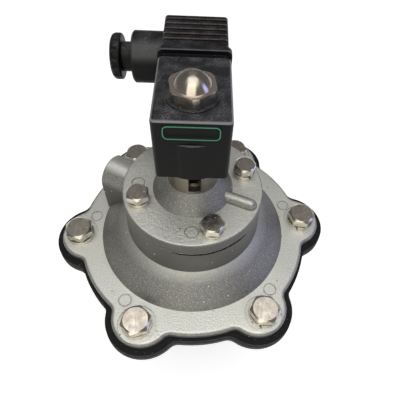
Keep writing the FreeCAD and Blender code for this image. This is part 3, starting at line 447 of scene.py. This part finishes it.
def turned_metal(name, base, rough, ring, depth, anisotropic=0.0, level=None):
    # Turned metal: fine rings round the axis that pull each glint into a streak.
    # The real rings are about 0.1 mm apart; they are drawn 0.4 to 0.8 mm apart to show.
    material, tree, coords = new_material(name)
    here = coords.outputs["Object"]
    flat = add_node(
        tree, "ShaderNodeVectorMath", {0: here, 1: (1, 1, 0)}, operation="MULTIPLY"
    ).outputs[0]
    radius = add_node(
        tree, "ShaderNodeVectorMath", {0: flat}, operation="LENGTH"
    ).outputs["Value"]
    turns = add_node(
        tree, "ShaderNodeMath", {0: radius, 1: 2 * math.pi / ring}, operation="MULTIPLY"
    ).outputs[0]
    rings = add_node(tree, "ShaderNodeMath", {0: turns}, operation="SINE").outputs[0]
    worn = pattern(tree, here, 1.5 * MM, low=0.3, high=0.7)
    coats = [(worn, 0.3, [0.75 * part for part in base])]
    # A level colour on the faces that face up is a painted highlight.
    if level:
        coats.insert(0, (facing_up(tree, coords, 0.97, 0.995), 1.0, level))
    spread = {"Value": worn, "To Min": rough - 0.03, "To Max": rough + 0.05}
    inputs = {
        "Base Color": layered(tree, base, *coats),
        "Metallic": 1.0,
        "Roughness": add_node(tree, "ShaderNodeMapRange", spread).outputs["Result"],
    }
    if anisotropic:
        # The glint is drawn out only on the dome, not on the sides or the flat face.
        domed = facing_up(tree, coords, 0.2, 0.4)
        face = facing_up(tree, coords, 0.97, 0.99)
        domed = add_node(
            tree, "ShaderNodeMath", {0: domed, 1: face}, operation="SUBTRACT"
        ).outputs[0]
        inputs["Anisotropic"] = add_node(
            tree, "ShaderNodeMath", {0: domed, 1: anisotropic}, operation="MULTIPLY"
        ).outputs[0]
        inputs["Anisotropic Rotation"] = 0.25
        inputs["Tangent"] = add_node(
            tree, "ShaderNodeTangent", direction_type="RADIAL", axis="Z"
        ).outputs[0]
    close_surface(tree, MACHINED_EDGE, ((rings, depth),), **inputs)
    return material


def zinc_plated_steel(settings):
    # Forged steel bolts, zinc-plated: bright, a little worn on top, each with its own faint cast.
    # Painted shade in the corners draws a dark line round each head and washer.
    material, tree, coords = new_material("steel_zinc_plated")
    here = coords.outputs["Object"]
    island = add_node(tree, "ShaderNodeNewGeometry").outputs["Random Per Island"]
    worn = pattern(tree, here, 3.0 * MM, low=0.35, high=0.7, detail=3.0)
    level = facing_up(tree, coords, 0.9, 0.99)
    blush = add_node(tree, "ShaderNodeMath", {0: island, 1: level}, operation="MULTIPLY")
    tone = layered(
        tree, settings.zinc,
        (blush.outputs[0], 0.45, settings.blush),
        (worn, 0.3, settings.zinc_worn),
        (tucked_in(tree, 1.2 * MM), 0.5, settings.bolt_corner_shade)
    )
    rough = settings.zinc_roughness
    spread = {"Value": worn, "To Min": rough - 0.04, "To Max": rough + 0.08}
    rough = add_node(tree, "ShaderNodeMapRange", spread).outputs["Result"]
    reliefs = ((worn, 0.003 * MM),)
    close_surface(tree, MACHINED_EDGE, reliefs, Base_Color=tone, Metallic=1.0, Roughness=rough)
    return material


def two_tone_metal(name, size, low, high, strength, base, other, rough):
    """A metal that turns from one colour and roughness to another in patches of a real size."""
    material, tree, coords = new_material(name)
    patches = pattern(tree, coords.outputs["Object"], size, low, high)
    tone = layered(tree, base, (patches, strength, other))
    spread = {"Value": patches, "To Min": rough[0], "To Max": rough[1]}
    rough = add_node(tree, "ShaderNodeMapRange", spread).outputs["Result"]
    close_surface(tree, MACHINED_EDGE, (), Base_Color=tone, Metallic=1.0, Roughness=rough)
    return material


def spring_wire(settings):
    # Drawn stainless wire: dull silver with fine darker drawing marks.
    marks = [0.7 * part for part in settings.spring]
    return two_tone_metal(
        "stainless_wire_drawn", 0.5 * MM, 0.3, 0.7, 0.7, settings.spring, marks, (0.25, 0.38)
    )


def tinned_brass(settings):
    # Stamped brass, tinned in patches: pale gold that turns to grey.
    return two_tone_metal(
        "brass_stamped_tinned", 2.0 * MM, 0.4, 0.6, 1.0, settings.brass, settings.tin, (0.25, 0.35)
    )


def dusty_plastic(name, base, coil, gloss, amount, edges=0.0, rim=None, ribs=None):
    # Moulded glass-filled plastic: a satin black skin, with pale dust caught on what faces up.
    # The real dust is finer than 0.1 mm; it is drawn at about 0.5 mm so that it shows.
    # Rounded edges that face up are lightened, partly rubbing and partly a painted highlight; a
    # paler band along the front rim is partly dust and partly a painted highlight; and the crests
    # of ribs across Y are lightened, partly scuffing and partly painted highlights.
    material, tree, coords = new_material(name)
    here = coords.outputs["Object"]
    lying = facing_up(tree, coords, 0.45, 0.95)
    fine = pattern(tree, here, coil.grit, low=0.42, high=0.72, detail=4.0)
    patch = pattern(tree, here, 6.0 * MM, low=0.4, high=0.65)
    crumbs = specks(tree, here, 2.1 * MM, 0.28 * MM)
    film = add_node(tree, "ShaderNodeMath", {0: fine, 1: patch}, operation="MULTIPLY").outputs[0]
    film = add_node(tree, "ShaderNodeMath", {0: film, 1: crumbs}, operation="MAXIMUM").outputs[0]
    cover = add_node(tree, "ShaderNodeMath", {0: lying, 1: film}, operation="MULTIPLY").outputs[0]
    coats = [
        (patch, 0.4, [1.3 * part for part in base]),
        (lying, 0.12 * amount, coil.dust),
        (cover, amount, coil.dust),
    ]
    if edges:
        # A normal that lies along none of the three axes is on a rounded edge.
        turned = add_node(
            tree, "ShaderNodeVectorMath", {0: coords.outputs["Normal"]}, operation="ABSOLUTE"
        ).outputs[0]
        axes = add_node(tree, "ShaderNodeSeparateXYZ", {"Vector": turned}).outputs
        most = axes["X"]
        for part in (axes["Y"], axes["Z"]):
            most = add_node(
                tree, "ShaderNodeMath", {0: most, 1: part}, operation="MAXIMUM"
            ).outputs[0]
        edge = {"Value": most, "From Min": 0.98, "From Max": 0.85}
        edge = add_node(tree, "ShaderNodeMapRange", edge).outputs["Result"]
        # Only the rounded edges that face up are lightened: partly rubbing, partly a painted
        # highlight.
        rising = facing_up(tree, coords, 0.15, 0.6)
        worn = add_node(tree, "ShaderNodeMath", {0: edge, 1: rising}, operation="MULTIPLY")
        coats.append((worn.outputs[0], edges, coil.scuff_and_highlight))
    spot = add_node(tree, "ShaderNodeSeparateXYZ", {"Vector": here}).outputs
    if rim:
        # The paler band along the front is partly dust, partly a painted highlight of the front
        # edge.
        front, width = rim
        near = {"Value": spot["Y"], "From Min": front + width, "From Max": front + 0.6 * width}
        near = add_node(tree, "ShaderNodeMapRange", near).outputs["Result"]
        near = add_node(tree, "ShaderNodeMath", {0: near, 1: lying}, operation="MULTIPLY")
        coats.append((near.outputs[0], 0.45, coil.dust))
    if ribs:
        # The lightened rib crests are partly scuffing, partly painted highlights.
        first, pitch, reach, scuff_and_highlight = ribs
        shifted = add_node(
            tree, "ShaderNodeMath", {0: spot["Y"], 1: first}, operation="SUBTRACT"
        ).outputs[0]
        # The distance to the nearest rib's middle, which folds back at half the pitch.
        folded = add_node(
            tree, "ShaderNodeMath", {0: shifted, 1: pitch / 2}, operation="PINGPONG"
        ).outputs[0]
        line = {"Value": folded, "From Min": 0.6 * MM, "From Max": 0.3 * MM}
        scuffed = add_node(tree, "ShaderNodeMapRange", line).outputs["Result"]
        ribbed, aside = (
            add_node(
                tree, "ShaderNodeMath", {0: measure, 1: limit}, operation="GREATER_THAN"
            ).outputs[0]
            for measure, limit in ((spot["Y"], first - 1.0 * MM), (spot["X"], -reach))
        )
        broken = pattern(tree, here, 1.2 * MM, low=0.25, high=0.6, detail=3.0)
        for mask in (lying, ribbed, aside, broken):
            scuffed = add_node(
                tree, "ShaderNodeMath", {0: scuffed, 1: mask}, operation="MULTIPLY"
            ).outputs[0]
        coats.append((scuffed, 0.4, scuff_and_highlight))
    rough = add_node(
        tree, "ShaderNodeMapRange", {"Value": cover, "To Min": 0.42, "To Max": 0.75}
    ).outputs["Result"]
    close_surface(
        tree, MOULDED_EDGE, ((fine, 0.02 * MM),), Base_Color=layered(tree, base, *coats),
        Roughness=rough, IOR=1.5, Specular_IOR_Level=gloss
    )
    return material


def moulded_rubber(name, base, plug):
    # Moulded nitrile rubber: dark and dull, with a faint bloom and a few pale crumbs on it.
    material, tree, coords = new_material(name)
    here = coords.outputs["Object"]
    bloom = pattern(tree, here, 3.0 * MM, low=0.35, high=0.7, detail=3.0)
    pores = pattern(tree, here, 0.5 * MM, low=0.3, high=0.7)
    crumbs = specks(tree, here, 1.8 * MM, 0.3 * MM)
    skin = layered(tree, base, (bloom, 0.25, plug.bloom), (crumbs, 0.6, plug.crumb))
    rough = add_node(
        tree, "ShaderNodeMapRange", {"Value": bloom, "To Min": 0.65, "To Max": 0.8}
    ).outputs["Result"]
    close_surface(
        tree, RUBBER_EDGE, ((pores, 0.03 * MM),),
        Base_Color=skin, Roughness=rough, IOR=1.5, Specular_IOR_Level=0.25
    )
    return material


def screen_ink(settings):
    # Screen-printed ink on moulded resin: a flat green film, a little broken by the grain below.
    material, tree, coords = new_material("ink_screen_printed")
    thin = pattern(tree, coords.outputs["Object"], 0.7 * MM, low=0.45, high=0.75, detail=3.0)
    tone = layered(tree, settings.print, (thin, 0.5, settings.thin_print))
    close_surface(tree, PRINTED_EDGE, (), Base_Color=tone, Roughness=0.45, IOR=1.5)
    return material


def dress(material, *names):
    """Puts a material in every slot of the named nodes."""
    for name in names:
        piece = NODES[name]
        if not piece.material_slots:
            piece.data.materials.append(material)
        for slot in piece.material_slots:
            slot.material = material


def new_piece(name, mesh, material, body):
    """Puts a finished mesh in the scene as a piece that moves with a body."""
    data = bpy.data.meshes.new(name)
    mesh.to_mesh(data)
    mesh.free()
    data.materials.append(material)
    piece = bpy.data.objects.new(name, data)
    bpy.context.scene.collection.objects.link(piece)
    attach(piece, body)
    return piece


def flatten(piece, node):
    """Hides the node that a piece stands for and gives the piece its own mesh."""
    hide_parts(node)
    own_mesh(piece)


def islands(node):
    """The corner points of each separate solid of a node, from the least X to the greatest."""
    mesh = bmesh.new()
    mesh.from_mesh(NODES[node].data)
    bmesh.ops.remove_doubles(mesh, verts=mesh.verts, dist=0.001 * MM)
    seen = set()
    found = []
    # The corners are met in the mesh's own order, so that every run gives the same result.
    for start in mesh.verts:
        if start in seen:
            continue
        seen.add(start)
        todo = [start]
        points = []
        while todo:
            corner = todo.pop()
            points.append(corner.co.copy())
            for edge in corner.link_edges:
                other = edge.other_vert(corner)
                if other not in seen:
                    seen.add(other)
                    todo.append(other)
        found.append(points)
    mesh.free()
    return sorted(found, key=lambda points: sum(point.x for point in points) / len(points))


def sweep(mesh, sections):
    """Joins rings of points, one after the other, into a closed bar."""
    rings = [[mesh.verts.new(point) for point in section] for section in sections]
    mesh.faces.new(rings[-1])
    mesh.faces.new(rings[0][::-1])
    for before, after in zip(rings, rings[1:]):
        for a in range(len(before)):
            b = (a + 1) % len(before)
            mesh.faces.new((before[a], before[b], after[b], after[a]))


def add_bar(mesh, centre, direction, size, height):
    """A raised bar with sloping sides: its foot on centre, size long and wide."""
    side = Vector((-direction.y, direction.x, 0))
    sweep(mesh, [
        [
            centre + direction * (a * size[0] / 2 * share) + side * (b * size[1] / 2 * share)
            + UP * rise
            for a, b in ((-1, -1), (1, -1), (1, 1), (-1, 1))
        ]
        for share, rise in ((1.0, -MARK_FOOT), (0.72, height))
    ])


class PULSEVALVE_OT_castings(bpy.types.Operator):
    """Gives the bonnet, the cover and the lower body their cast finishes"""

    bl_idname = "pulse_valve.castings"
    bl_label = "Castings"

    def execute(self, context):
        settings = context.scene.pulse_casting
        dress(blasted_aluminium(settings), "bonnet", "pilot_cover")
        dress(coated_casting(settings, context.scene.pulse_ports), "lower_body")
        return {"FINISHED"}


class PULSEVALVE_OT_ports(bpy.types.Operator):
    """Gives both ports the look of a pipe thread with a helical ridge"""

    bl_idname = "pulse_valve.ports"
    bl_label = "Port threads"

    def execute(self, context):
        ports = context.scene.pulse_ports
        machined = context.scene.pulse_casting.machined
        turn_steps = 60
        steps = ports.turns * turn_steps
        run_out = 0.5
        foot = ports.bore + RIDGE_FOOT
        right = Vector((1, 0, 0))
        outlet = (Vector((0, 0, 0)), Vector((0, 1, 0)), Vector((0, 0, 1)))
        inlet = (Vector(ports.inlet), Vector((0, 0, 1)), Vector((0, -1, 0)))
        mesh = bmesh.new()
        for origin, up, inward in (outlet, inlet):
            sections = []
            for i in range(steps + 1):
                swing = 2 * math.pi * i / turn_steps
                out = right * math.cos(swing) + up * math.sin(swing)
                travel = ports.start + ports.pitch * i / turn_steps
                # The ridge fades over the first and the last half turn of the thread.
                full = min(1.0, i / turn_steps / run_out, (steps - i) / turn_steps / run_out)
                crest = foot - (ports.height + RIDGE_FOOT) * full
                profile = ((foot, 0.0), (crest, 0.42), (crest, 0.52), (foot, 0.94))
                sections.append([
                    origin + out * radius + inward * (travel + ports.pitch * share)
                    for radius, share in profile
                ])
            sweep(mesh, sections)
        bmesh.ops.recalc_face_normals(mesh, faces=mesh.faces)
        finish = turned_metal("aluminium_thread_cut", machined, 0.3, 0.4 * MM, 0.004 * MM)
        new_piece("port_threads", mesh, finish, "valve")
        return {"FINISHED"}


class PULSEVALVE_OT_bolts(bpy.types.Operator):
    """Gives the bolts and spring washers their plating and raises marks on the heads"""

    bl_idname = "pulse_valve.bolts"
    bl_label = "Bolts and washers"

    def execute(self, context):
        steel = context.scene.pulse_steel
        zinc = zinc_plated_steel(steel)
        dress(
            zinc, "flange_bolts", "cover_bolts", "flange_spring_washers",
            "cover_spring_washers", "connector_screw"
        )
        # Three marks side by side and two across the head, in steps of the spread.
        places = (-1.0, 0.0, 1.0, 5.2, 6.8)
        for node, name in (
            ("flange_bolts", "flange_bolt_marks"), ("cover_bolts", "cover_bolt_marks")
        ):
            mesh = bmesh.new()
            for number, points in enumerate(islands(node)):
                top = max(point.z for point in points)
                face = [point for point in points if point.z > top - 0.01 * MM]
                centre = sum(face, Vector()) / len(face)
                reach = max((point - centre).length for point in face)
                size = (steel.mark_length * reach / steel.mark_face, steel.mark_width)
                for step in places:
                    swing = number * steel.head_turn + step * steel.mark_spread
                    out = Vector((math.cos(swing), math.sin(swing), 0))
                    add_bar(mesh, centre + out * (reach * 0.72), out, size, steel.mark_height)
            new_piece(name, mesh, zinc, "valve")
        return {"FINISHED"}


class PULSEVALVE_OT_diaphragms(bpy.types.Operator):
    """Gives the diaphragms and seals their rubber, and parts the main diaphragm at its rim"""

    bl_idname = "pulse_valve.diaphragms"
    bl_label = "Diaphragms and seals"

    def execute(self, context):
        plug = context.scene.pulse_plug
        rubber = moulded_rubber("rubber_moulded_diaphragm", plug.diaphragm, plug)
        dress(rubber, "pilot_diaphragm")
        self.part_main(plug, rubber)
        seals = ("stem_gasket", "plunger_seal", "connector_gasket", "gland_washer", "gland_grommet")
        dress(moulded_rubber("rubber_moulded_seal", plug.rubber, plug), *seals)
        self.squeeze_pilot(plug, rubber)
        return {"FINISHED"}

    def part_main(self, plug, rubber):
        # The main diaphragm is parted inside the clamped rim into a rim piece and a membrane piece.
        for name, inner in (("main_diaphragm_rim", False), ("main_diaphragm_membrane", True)):
            mesh = bmesh.new()
            mesh.from_mesh(NODES["main_diaphragm"].data)
            others = [
                face for face in mesh.faces
                if inner != all(
                    math.hypot(*corner.co.xy) < plug.membrane_reach for corner in face.verts
                )
            ]
            bmesh.ops.delete(mesh, geom=others, context="FACES")
            piece = new_piece(name, mesh, rubber, "valve")
            if inner:
                flatten(piece, "main_diaphragm")
            else:
                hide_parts("main_diaphragm")

    def squeeze_pilot(self, plug, rubber):
        # A ragged line of the pilot diaphragm shows where the cover squeezes it out in front.
        low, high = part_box("pilot_diaphragm")
        left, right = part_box("pilot_cover")
        rim = (right.x - left.x) / 2 - RIDGE_FOOT
        middle = UP * ((low.z + high.z) / 2)
        steps = 90
        sides = 8
        sections = []
        for i in range(steps + 1):
            swing = plug.squeeze_start + (plug.squeeze_end - plug.squeeze_start) * i / steps
            swell = 0.55 + 0.45 * noise.noise(Vector((i * 0.37, 0.0, 0.0)))
            thick = plug.squeeze * swell * math.sin(math.pi * i / steps) ** 0.5 + 0.01 * MM
            out = Vector((math.cos(swing), math.sin(swing), 0))
            centre = out * rim + middle
            sections.append([
                centre + thick * (out * math.cos(turn) + UP * math.sin(turn))
                for turn in (2 * math.pi * side / sides for side in range(sides))
            ])
        mesh = bmesh.new()
        sweep(mesh, sections)
        bmesh.ops.recalc_face_normals(mesh, faces=mesh.faces)
        new_piece("pilot_diaphragm_squeeze", mesh, rubber, "valve")


class PULSEVALVE_OT_plates(bpy.types.Operator):
    """Gives the plates, rivet, core tube, plunger and fixed core their turned steel"""

    bl_idname = "pulse_valve.plates"
    bl_label = "Plates and cores"

    def execute(self, context):
        steel = context.scene.pulse_steel
        turned = turned_metal("stainless_turned", steel.stainless, 0.28, 0.5 * MM, 0.006 * MM)
        dress(
            turned, "main_top_plate", "main_bottom_plate", "main_plate_bolt", "main_plate_nut",
            "pilot_plate", "pilot_rivet", "core_tube", "plunger", "fixed_core"
        )
        return {"FINISHED"}


class PULSEVALVE_OT_springs(bpy.types.Operator):
    """Gives the three springs their drawn wire, each as a piece of its own in place of its node"""

    bl_idname = "pulse_valve.springs"
    bl_label = "Springs"

    def execute(self, context):
        wire = spring_wire(context.scene.pulse_steel)
        for node, joint in (
            ("main_spring", "main_valve_lift"),
            ("pilot_spring", "pilot_valve_lift"),
            ("plunger_spring", "plunger_lift"),
        ):
            mesh = bmesh.new()
            mesh.from_mesh(NODES[node].data)
            spring = new_piece(node + "_wire", mesh, wire, "valve")
            flatten(spring, node)
        return {"FINISHED"}


class PULSEVALVE_OT_collar(bpy.types.Operator):
    """Gives the exhaust collar its dull turned aluminium"""

    bl_idname = "pulse_valve.collar"
    bl_label = "Exhaust collar"

    def execute(self, context):
        tone = context.scene.pulse_plug.collar
        finish = turned_metal("aluminium_turned_dull", tone, 0.42, 0.8 * MM, 0.008 * MM)
        dress(finish, "exhaust_collar")
        return {"FINISHED"}


class PULSEVALVE_OT_coil(bpy.types.Operator):
    """Gives the coil its resin and prints an empty frame on its front"""

    bl_idname = "pulse_valve.coil"
    bl_label = "Coil"

    def execute(self, context):
        coil = context.scene.pulse_coil
        low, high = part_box("coil")
        resin = dusty_plastic(
            "polyester_moulded_dusty", coil.resin, coil, gloss=0.12, amount=0.9, edges=0.75,
            rim=(low.y, coil.rim_dust_and_highlight_width)
        )
        dress(resin, "coil")
        middle_x = (low.x + high.x) / 2
        middle_z = high.z - coil.frame_drop - coil.frame_height / 2
        corner_steps = 8
        mesh = bmesh.new()
        loops = []
        for inset in (0.0, coil.frame_line):
            corner = coil.frame_corner - inset
            half_x = coil.frame_width / 2 - inset - corner
            half_z = coil.frame_height / 2 - inset - corner
            for depth in (low.y - coil.frame_film, low.y + RIDGE_FOOT):
                loop = []
                for quarter, (side_x, side_z) in enumerate(((1, 1), (-1, 1), (-1, -1), (1, -1))):
                    for i in range(corner_steps + 1):
                        swing = math.radians(90 * (quarter + i / corner_steps))
                        x = middle_x + side_x * half_x + corner * math.cos(swing)
                        z = middle_z + side_z * half_z + corner * math.sin(swing)
                        loop.append(mesh.verts.new((x, depth, z)))
                loops.append(loop)
        outer, outer_back, inner, inner_back = loops
        ring = (outer, inner, inner_back, outer_back)
        for first, second in zip(ring, (*ring[1:], outer)):
            for i in range(len(first)):
                j = (i + 1) % len(first)
                mesh.faces.new((first[i], first[j], second[j], second[i]))
        bmesh.ops.recalc_face_normals(mesh, faces=mesh.faces)
        new_piece("coil_print_frame", mesh, screen_ink(coil), "valve")
        return {"FINISHED"}


class PULSEVALVE_OT_nut(bpy.types.Operator):
    """Gives the domed nut its turned nickel plating"""

    bl_idname = "pulse_valve.nut"
    bl_label = "Coil nut"

    def execute(self, context):
        steel = context.scene.pulse_steel
        # The nut's flat face takes a brighter copy of the plating as a painted highlight.
        finish = turned_metal(
            "steel_nickel_plated", steel.nickel, steel.nickel_roughness, 0.45 * MM, 0.0004 * MM,
            anisotropic=0.85, level=steel.nickel_face_highlight
        )
        dress(finish, "coil_nut")
        return {"FINISHED"}


class PULSEVALVE_OT_connector(bpy.types.Operator):
    """Gives the connector, its gland and its terminals their finishes"""

    bl_idname = "pulse_valve.connector"
    bl_label = "Connector"

    def execute(self, context):
        plug = context.scene.pulse_plug
        coil = context.scene.pulse_coil
        look = {"base": plug.plastic, "coil": coil, "gloss": 0.15, "amount": 0.45}
        low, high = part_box("connector_housing")
        ribs = (low.y + plug.first_rib, plug.rib_pitch, high.x - plug.collar_step, plug.scuff_and_highlight)
        shell = dusty_plastic(
            "polyamide_moulded_ribbed", **look, edges=0.2, rim=(low.y, plug.rim_dust_and_highlight_width), ribs=ribs
        )
        dress(shell, "connector_housing")
        dress(dusty_plastic("polyamide_moulded_dusty", **look), "gland_nut", "terminal_block")
        dress(tinned_brass(plug), "coil_terminals")
        return {"FINISHED"}


class PULSEVALVE_OT_stage(bpy.types.Operator):
    """Lays the floor, hangs the lights and stands the camera"""

    bl_idname = "pulse_valve.stage"
    bl_label = "Stage"

    def execute(self, context):
        studio = context.scene.pulse_studio
        self.floor(context, studio)
        self.world(context)
        self.lamps(context, studio)
        self.camera(context, studio)
        context.scene.view_settings.view_transform = "Standard"
        return {"FINISHED"}

    def floor(self, context, studio):
        # Painted board: matt and pale. Where it is seen it glows up to the white of a backdrop.
        material, tree, coords = new_material("floor_painted_board")
        path = add_node(tree, "ShaderNodeLightPath").outputs
        seen = path["Is Camera Ray"]
        for ray in ("Is Glossy Ray", "Is Transmission Ray"):
            seen = add_node(
                tree, "ShaderNodeMath", {0: seen, 1: path[ray]}, operation="MAXIMUM"
            ).outputs[0]
        board = add_node(
            tree, "ShaderNodeBsdfDiffuse", {"Color": opaque(studio.floor)}
        ).outputs[0]
        glow = add_node(
            tree, "ShaderNodeEmission", {"Color": (1, 1, 1, 1), "Strength": studio.floor_glow}
        ).outputs[0]
        lit = add_node(tree, "ShaderNodeAddShader", {0: board, 1: glow}).outputs[0]
        surface = add_node(tree, "ShaderNodeMixShader", {0: seen, 1: board, 2: lit}).outputs[0]
        add_node(tree, "ShaderNodeOutputMaterial", {"Surface": surface})
        mesh = bmesh.new()
        bmesh.ops.create_circle(mesh, cap_ends=True, segments=96, radius=studio.floor_width / 2)
        data = bpy.data.meshes.new("floor")
        mesh.to_mesh(data)
        mesh.free()
        data.materials.append(material)
        floor = bpy.data.objects.new("floor", data)
        floor.location.z = CAD_BOX[0].z - studio.floor_gap
        context.scene.collection.objects.link(floor)

    def world(self, context):
        # A dim room under a brighter ceiling: its grey by the height of the way looked.
        stops = ((0.0, 0.17), (0.42, 0.14), (0.7, 0.15), (0.84, 0.2), (0.95, 0.75))
        world = bpy.data.worlds.new("studio")
        world.use_nodes = True
        tree = world.node_tree
        tree.nodes.clear()
        way = add_node(tree, "ShaderNodeTexCoord").outputs["Generated"]
        height = add_node(tree, "ShaderNodeSeparateXYZ", {"Vector": way}).outputs["Z"]
        ramp = add_node(tree, "ShaderNodeValToRGB", {"Fac": height})
        elements = ramp.color_ramp.elements
        while len(elements) < len(stops):
            elements.new(0.5)
        for element, (position, level) in zip(elements, stops):
            element.position = position
            element.color = (level, level, level, 1)
        room = {"Color": ramp.outputs["Color"], "Strength": 1.0}
        room = add_node(tree, "ShaderNodeBackground", room).outputs[0]
        add_node(tree, "ShaderNodeOutputWorld", {"Surface": room})
        context.scene.world = world

    def lamps(self, context, studio):
        aim = Vector(studio.aim)
        # Name, way from the aim, width and height in metres, power, colour.
        for name, way, size, watts, tint in (
            (
                "overhead_softbox", (0.0, -0.02, 1.0), (1.0, 1.0),
                studio.overhead_power, studio.overhead_tint
            ),
            (
                "front_window", (-0.12, -0.76, 0.62), (1.0, 1.5),
                studio.front_power, studio.front_tint
            ),
            (
                "side_window", (0.90, -0.10, 0.41), (0.45, 0.7),
                studio.side_power, studio.side_tint
            ),
        ):
            way = Vector(way)
            lamp = bpy.data.lights.new(name, "AREA")
            lamp.energy = watts
            lamp.shape = "RECTANGLE"
            lamp.size, lamp.size_y = size
            lamp.color = tint
            holder = bpy.data.objects.new(name, lamp)
            context.scene.collection.objects.link(holder)
            holder.location = aim + way.normalized() * studio.lamp_distance
            holder.rotation_mode = "QUATERNION"
            holder.rotation_quaternion = way.to_track_quat("Z", "Y")
            holder.visible_camera = False

    def camera(self, context, studio):
        data = bpy.data.cameras.new("camera")
        data.lens = studio.lens
        data.shift_x = studio.shift_x
        data.shift_y = studio.shift_y
        data.clip_start = studio.near_clip
        camera = bpy.data.objects.new("camera", data)
        context.scene.collection.objects.link(camera)
        camera.matrix_world = (
            Matrix.Translation(studio.camera_place)
            @ Matrix.Rotation(-studio.yaw, 4, "Z")
            @ Matrix.Rotation(math.pi / 2 + studio.pitch, 4, "X")
            @ Matrix.Rotation(studio.roll, 4, "Z")
        )
        context.scene.camera = camera


OPERATORS = (
    PULSEVALVE_OT_castings,
    PULSEVALVE_OT_ports,
    PULSEVALVE_OT_bolts,
    PULSEVALVE_OT_diaphragms,
    PULSEVALVE_OT_plates,
    PULSEVALVE_OT_springs,
    PULSEVALVE_OT_collar,
    PULSEVALVE_OT_coil,
    PULSEVALVE_OT_nut,
    PULSEVALVE_OT_connector,
    PULSEVALVE_OT_stage,
)

SETTINGS = {
    "pulse_casting": CastingSettings,
    "pulse_steel": SteelSettings,
    "pulse_coil": CoilSettings,
    "pulse_plug": PlugSettings,
    "pulse_ports": PortSettings,
    "pulse_studio": StudioSettings,
}


class PULSEVALVE_PT_panel(bpy.types.Panel):
    """Lists the pieces of the valve and their settings"""

    bl_idname = "PULSEVALVE_PT_panel"
    bl_label = "Pulse valve"
    bl_space_type = "VIEW_3D"
    bl_region_type = "UI"
    bl_category = "Pulse valve"

    def draw(self, context):
        for operator in OPERATORS:
            self.layout.operator(operator.bl_idname)
        for name, group in SETTINGS.items():
            box = self.layout.box()
            for key in group.__annotations__:
                box.prop(getattr(context.scene, name), key)


def register():
    for group in (*SETTINGS.values(), *OPERATORS, PULSEVALVE_PT_panel):
        bpy.utils.register_class(group)
    for name, group in SETTINGS.items():
        setattr(bpy.types.Scene, name, PointerProperty(type=group))


def unregister():
    for name in SETTINGS:
        delattr(bpy.types.Scene, name)
    for group in reversed((*SETTINGS.values(), *OPERATORS, PULSEVALVE_PT_panel)):
        bpy.utils.unregister_class(group)


def main():
    register()
    for operator in OPERATORS:
        family, name = operator.bl_idname.split(".")
        getattr(getattr(bpy.ops, family), name)()


if __name__ == "__main__":
    main()
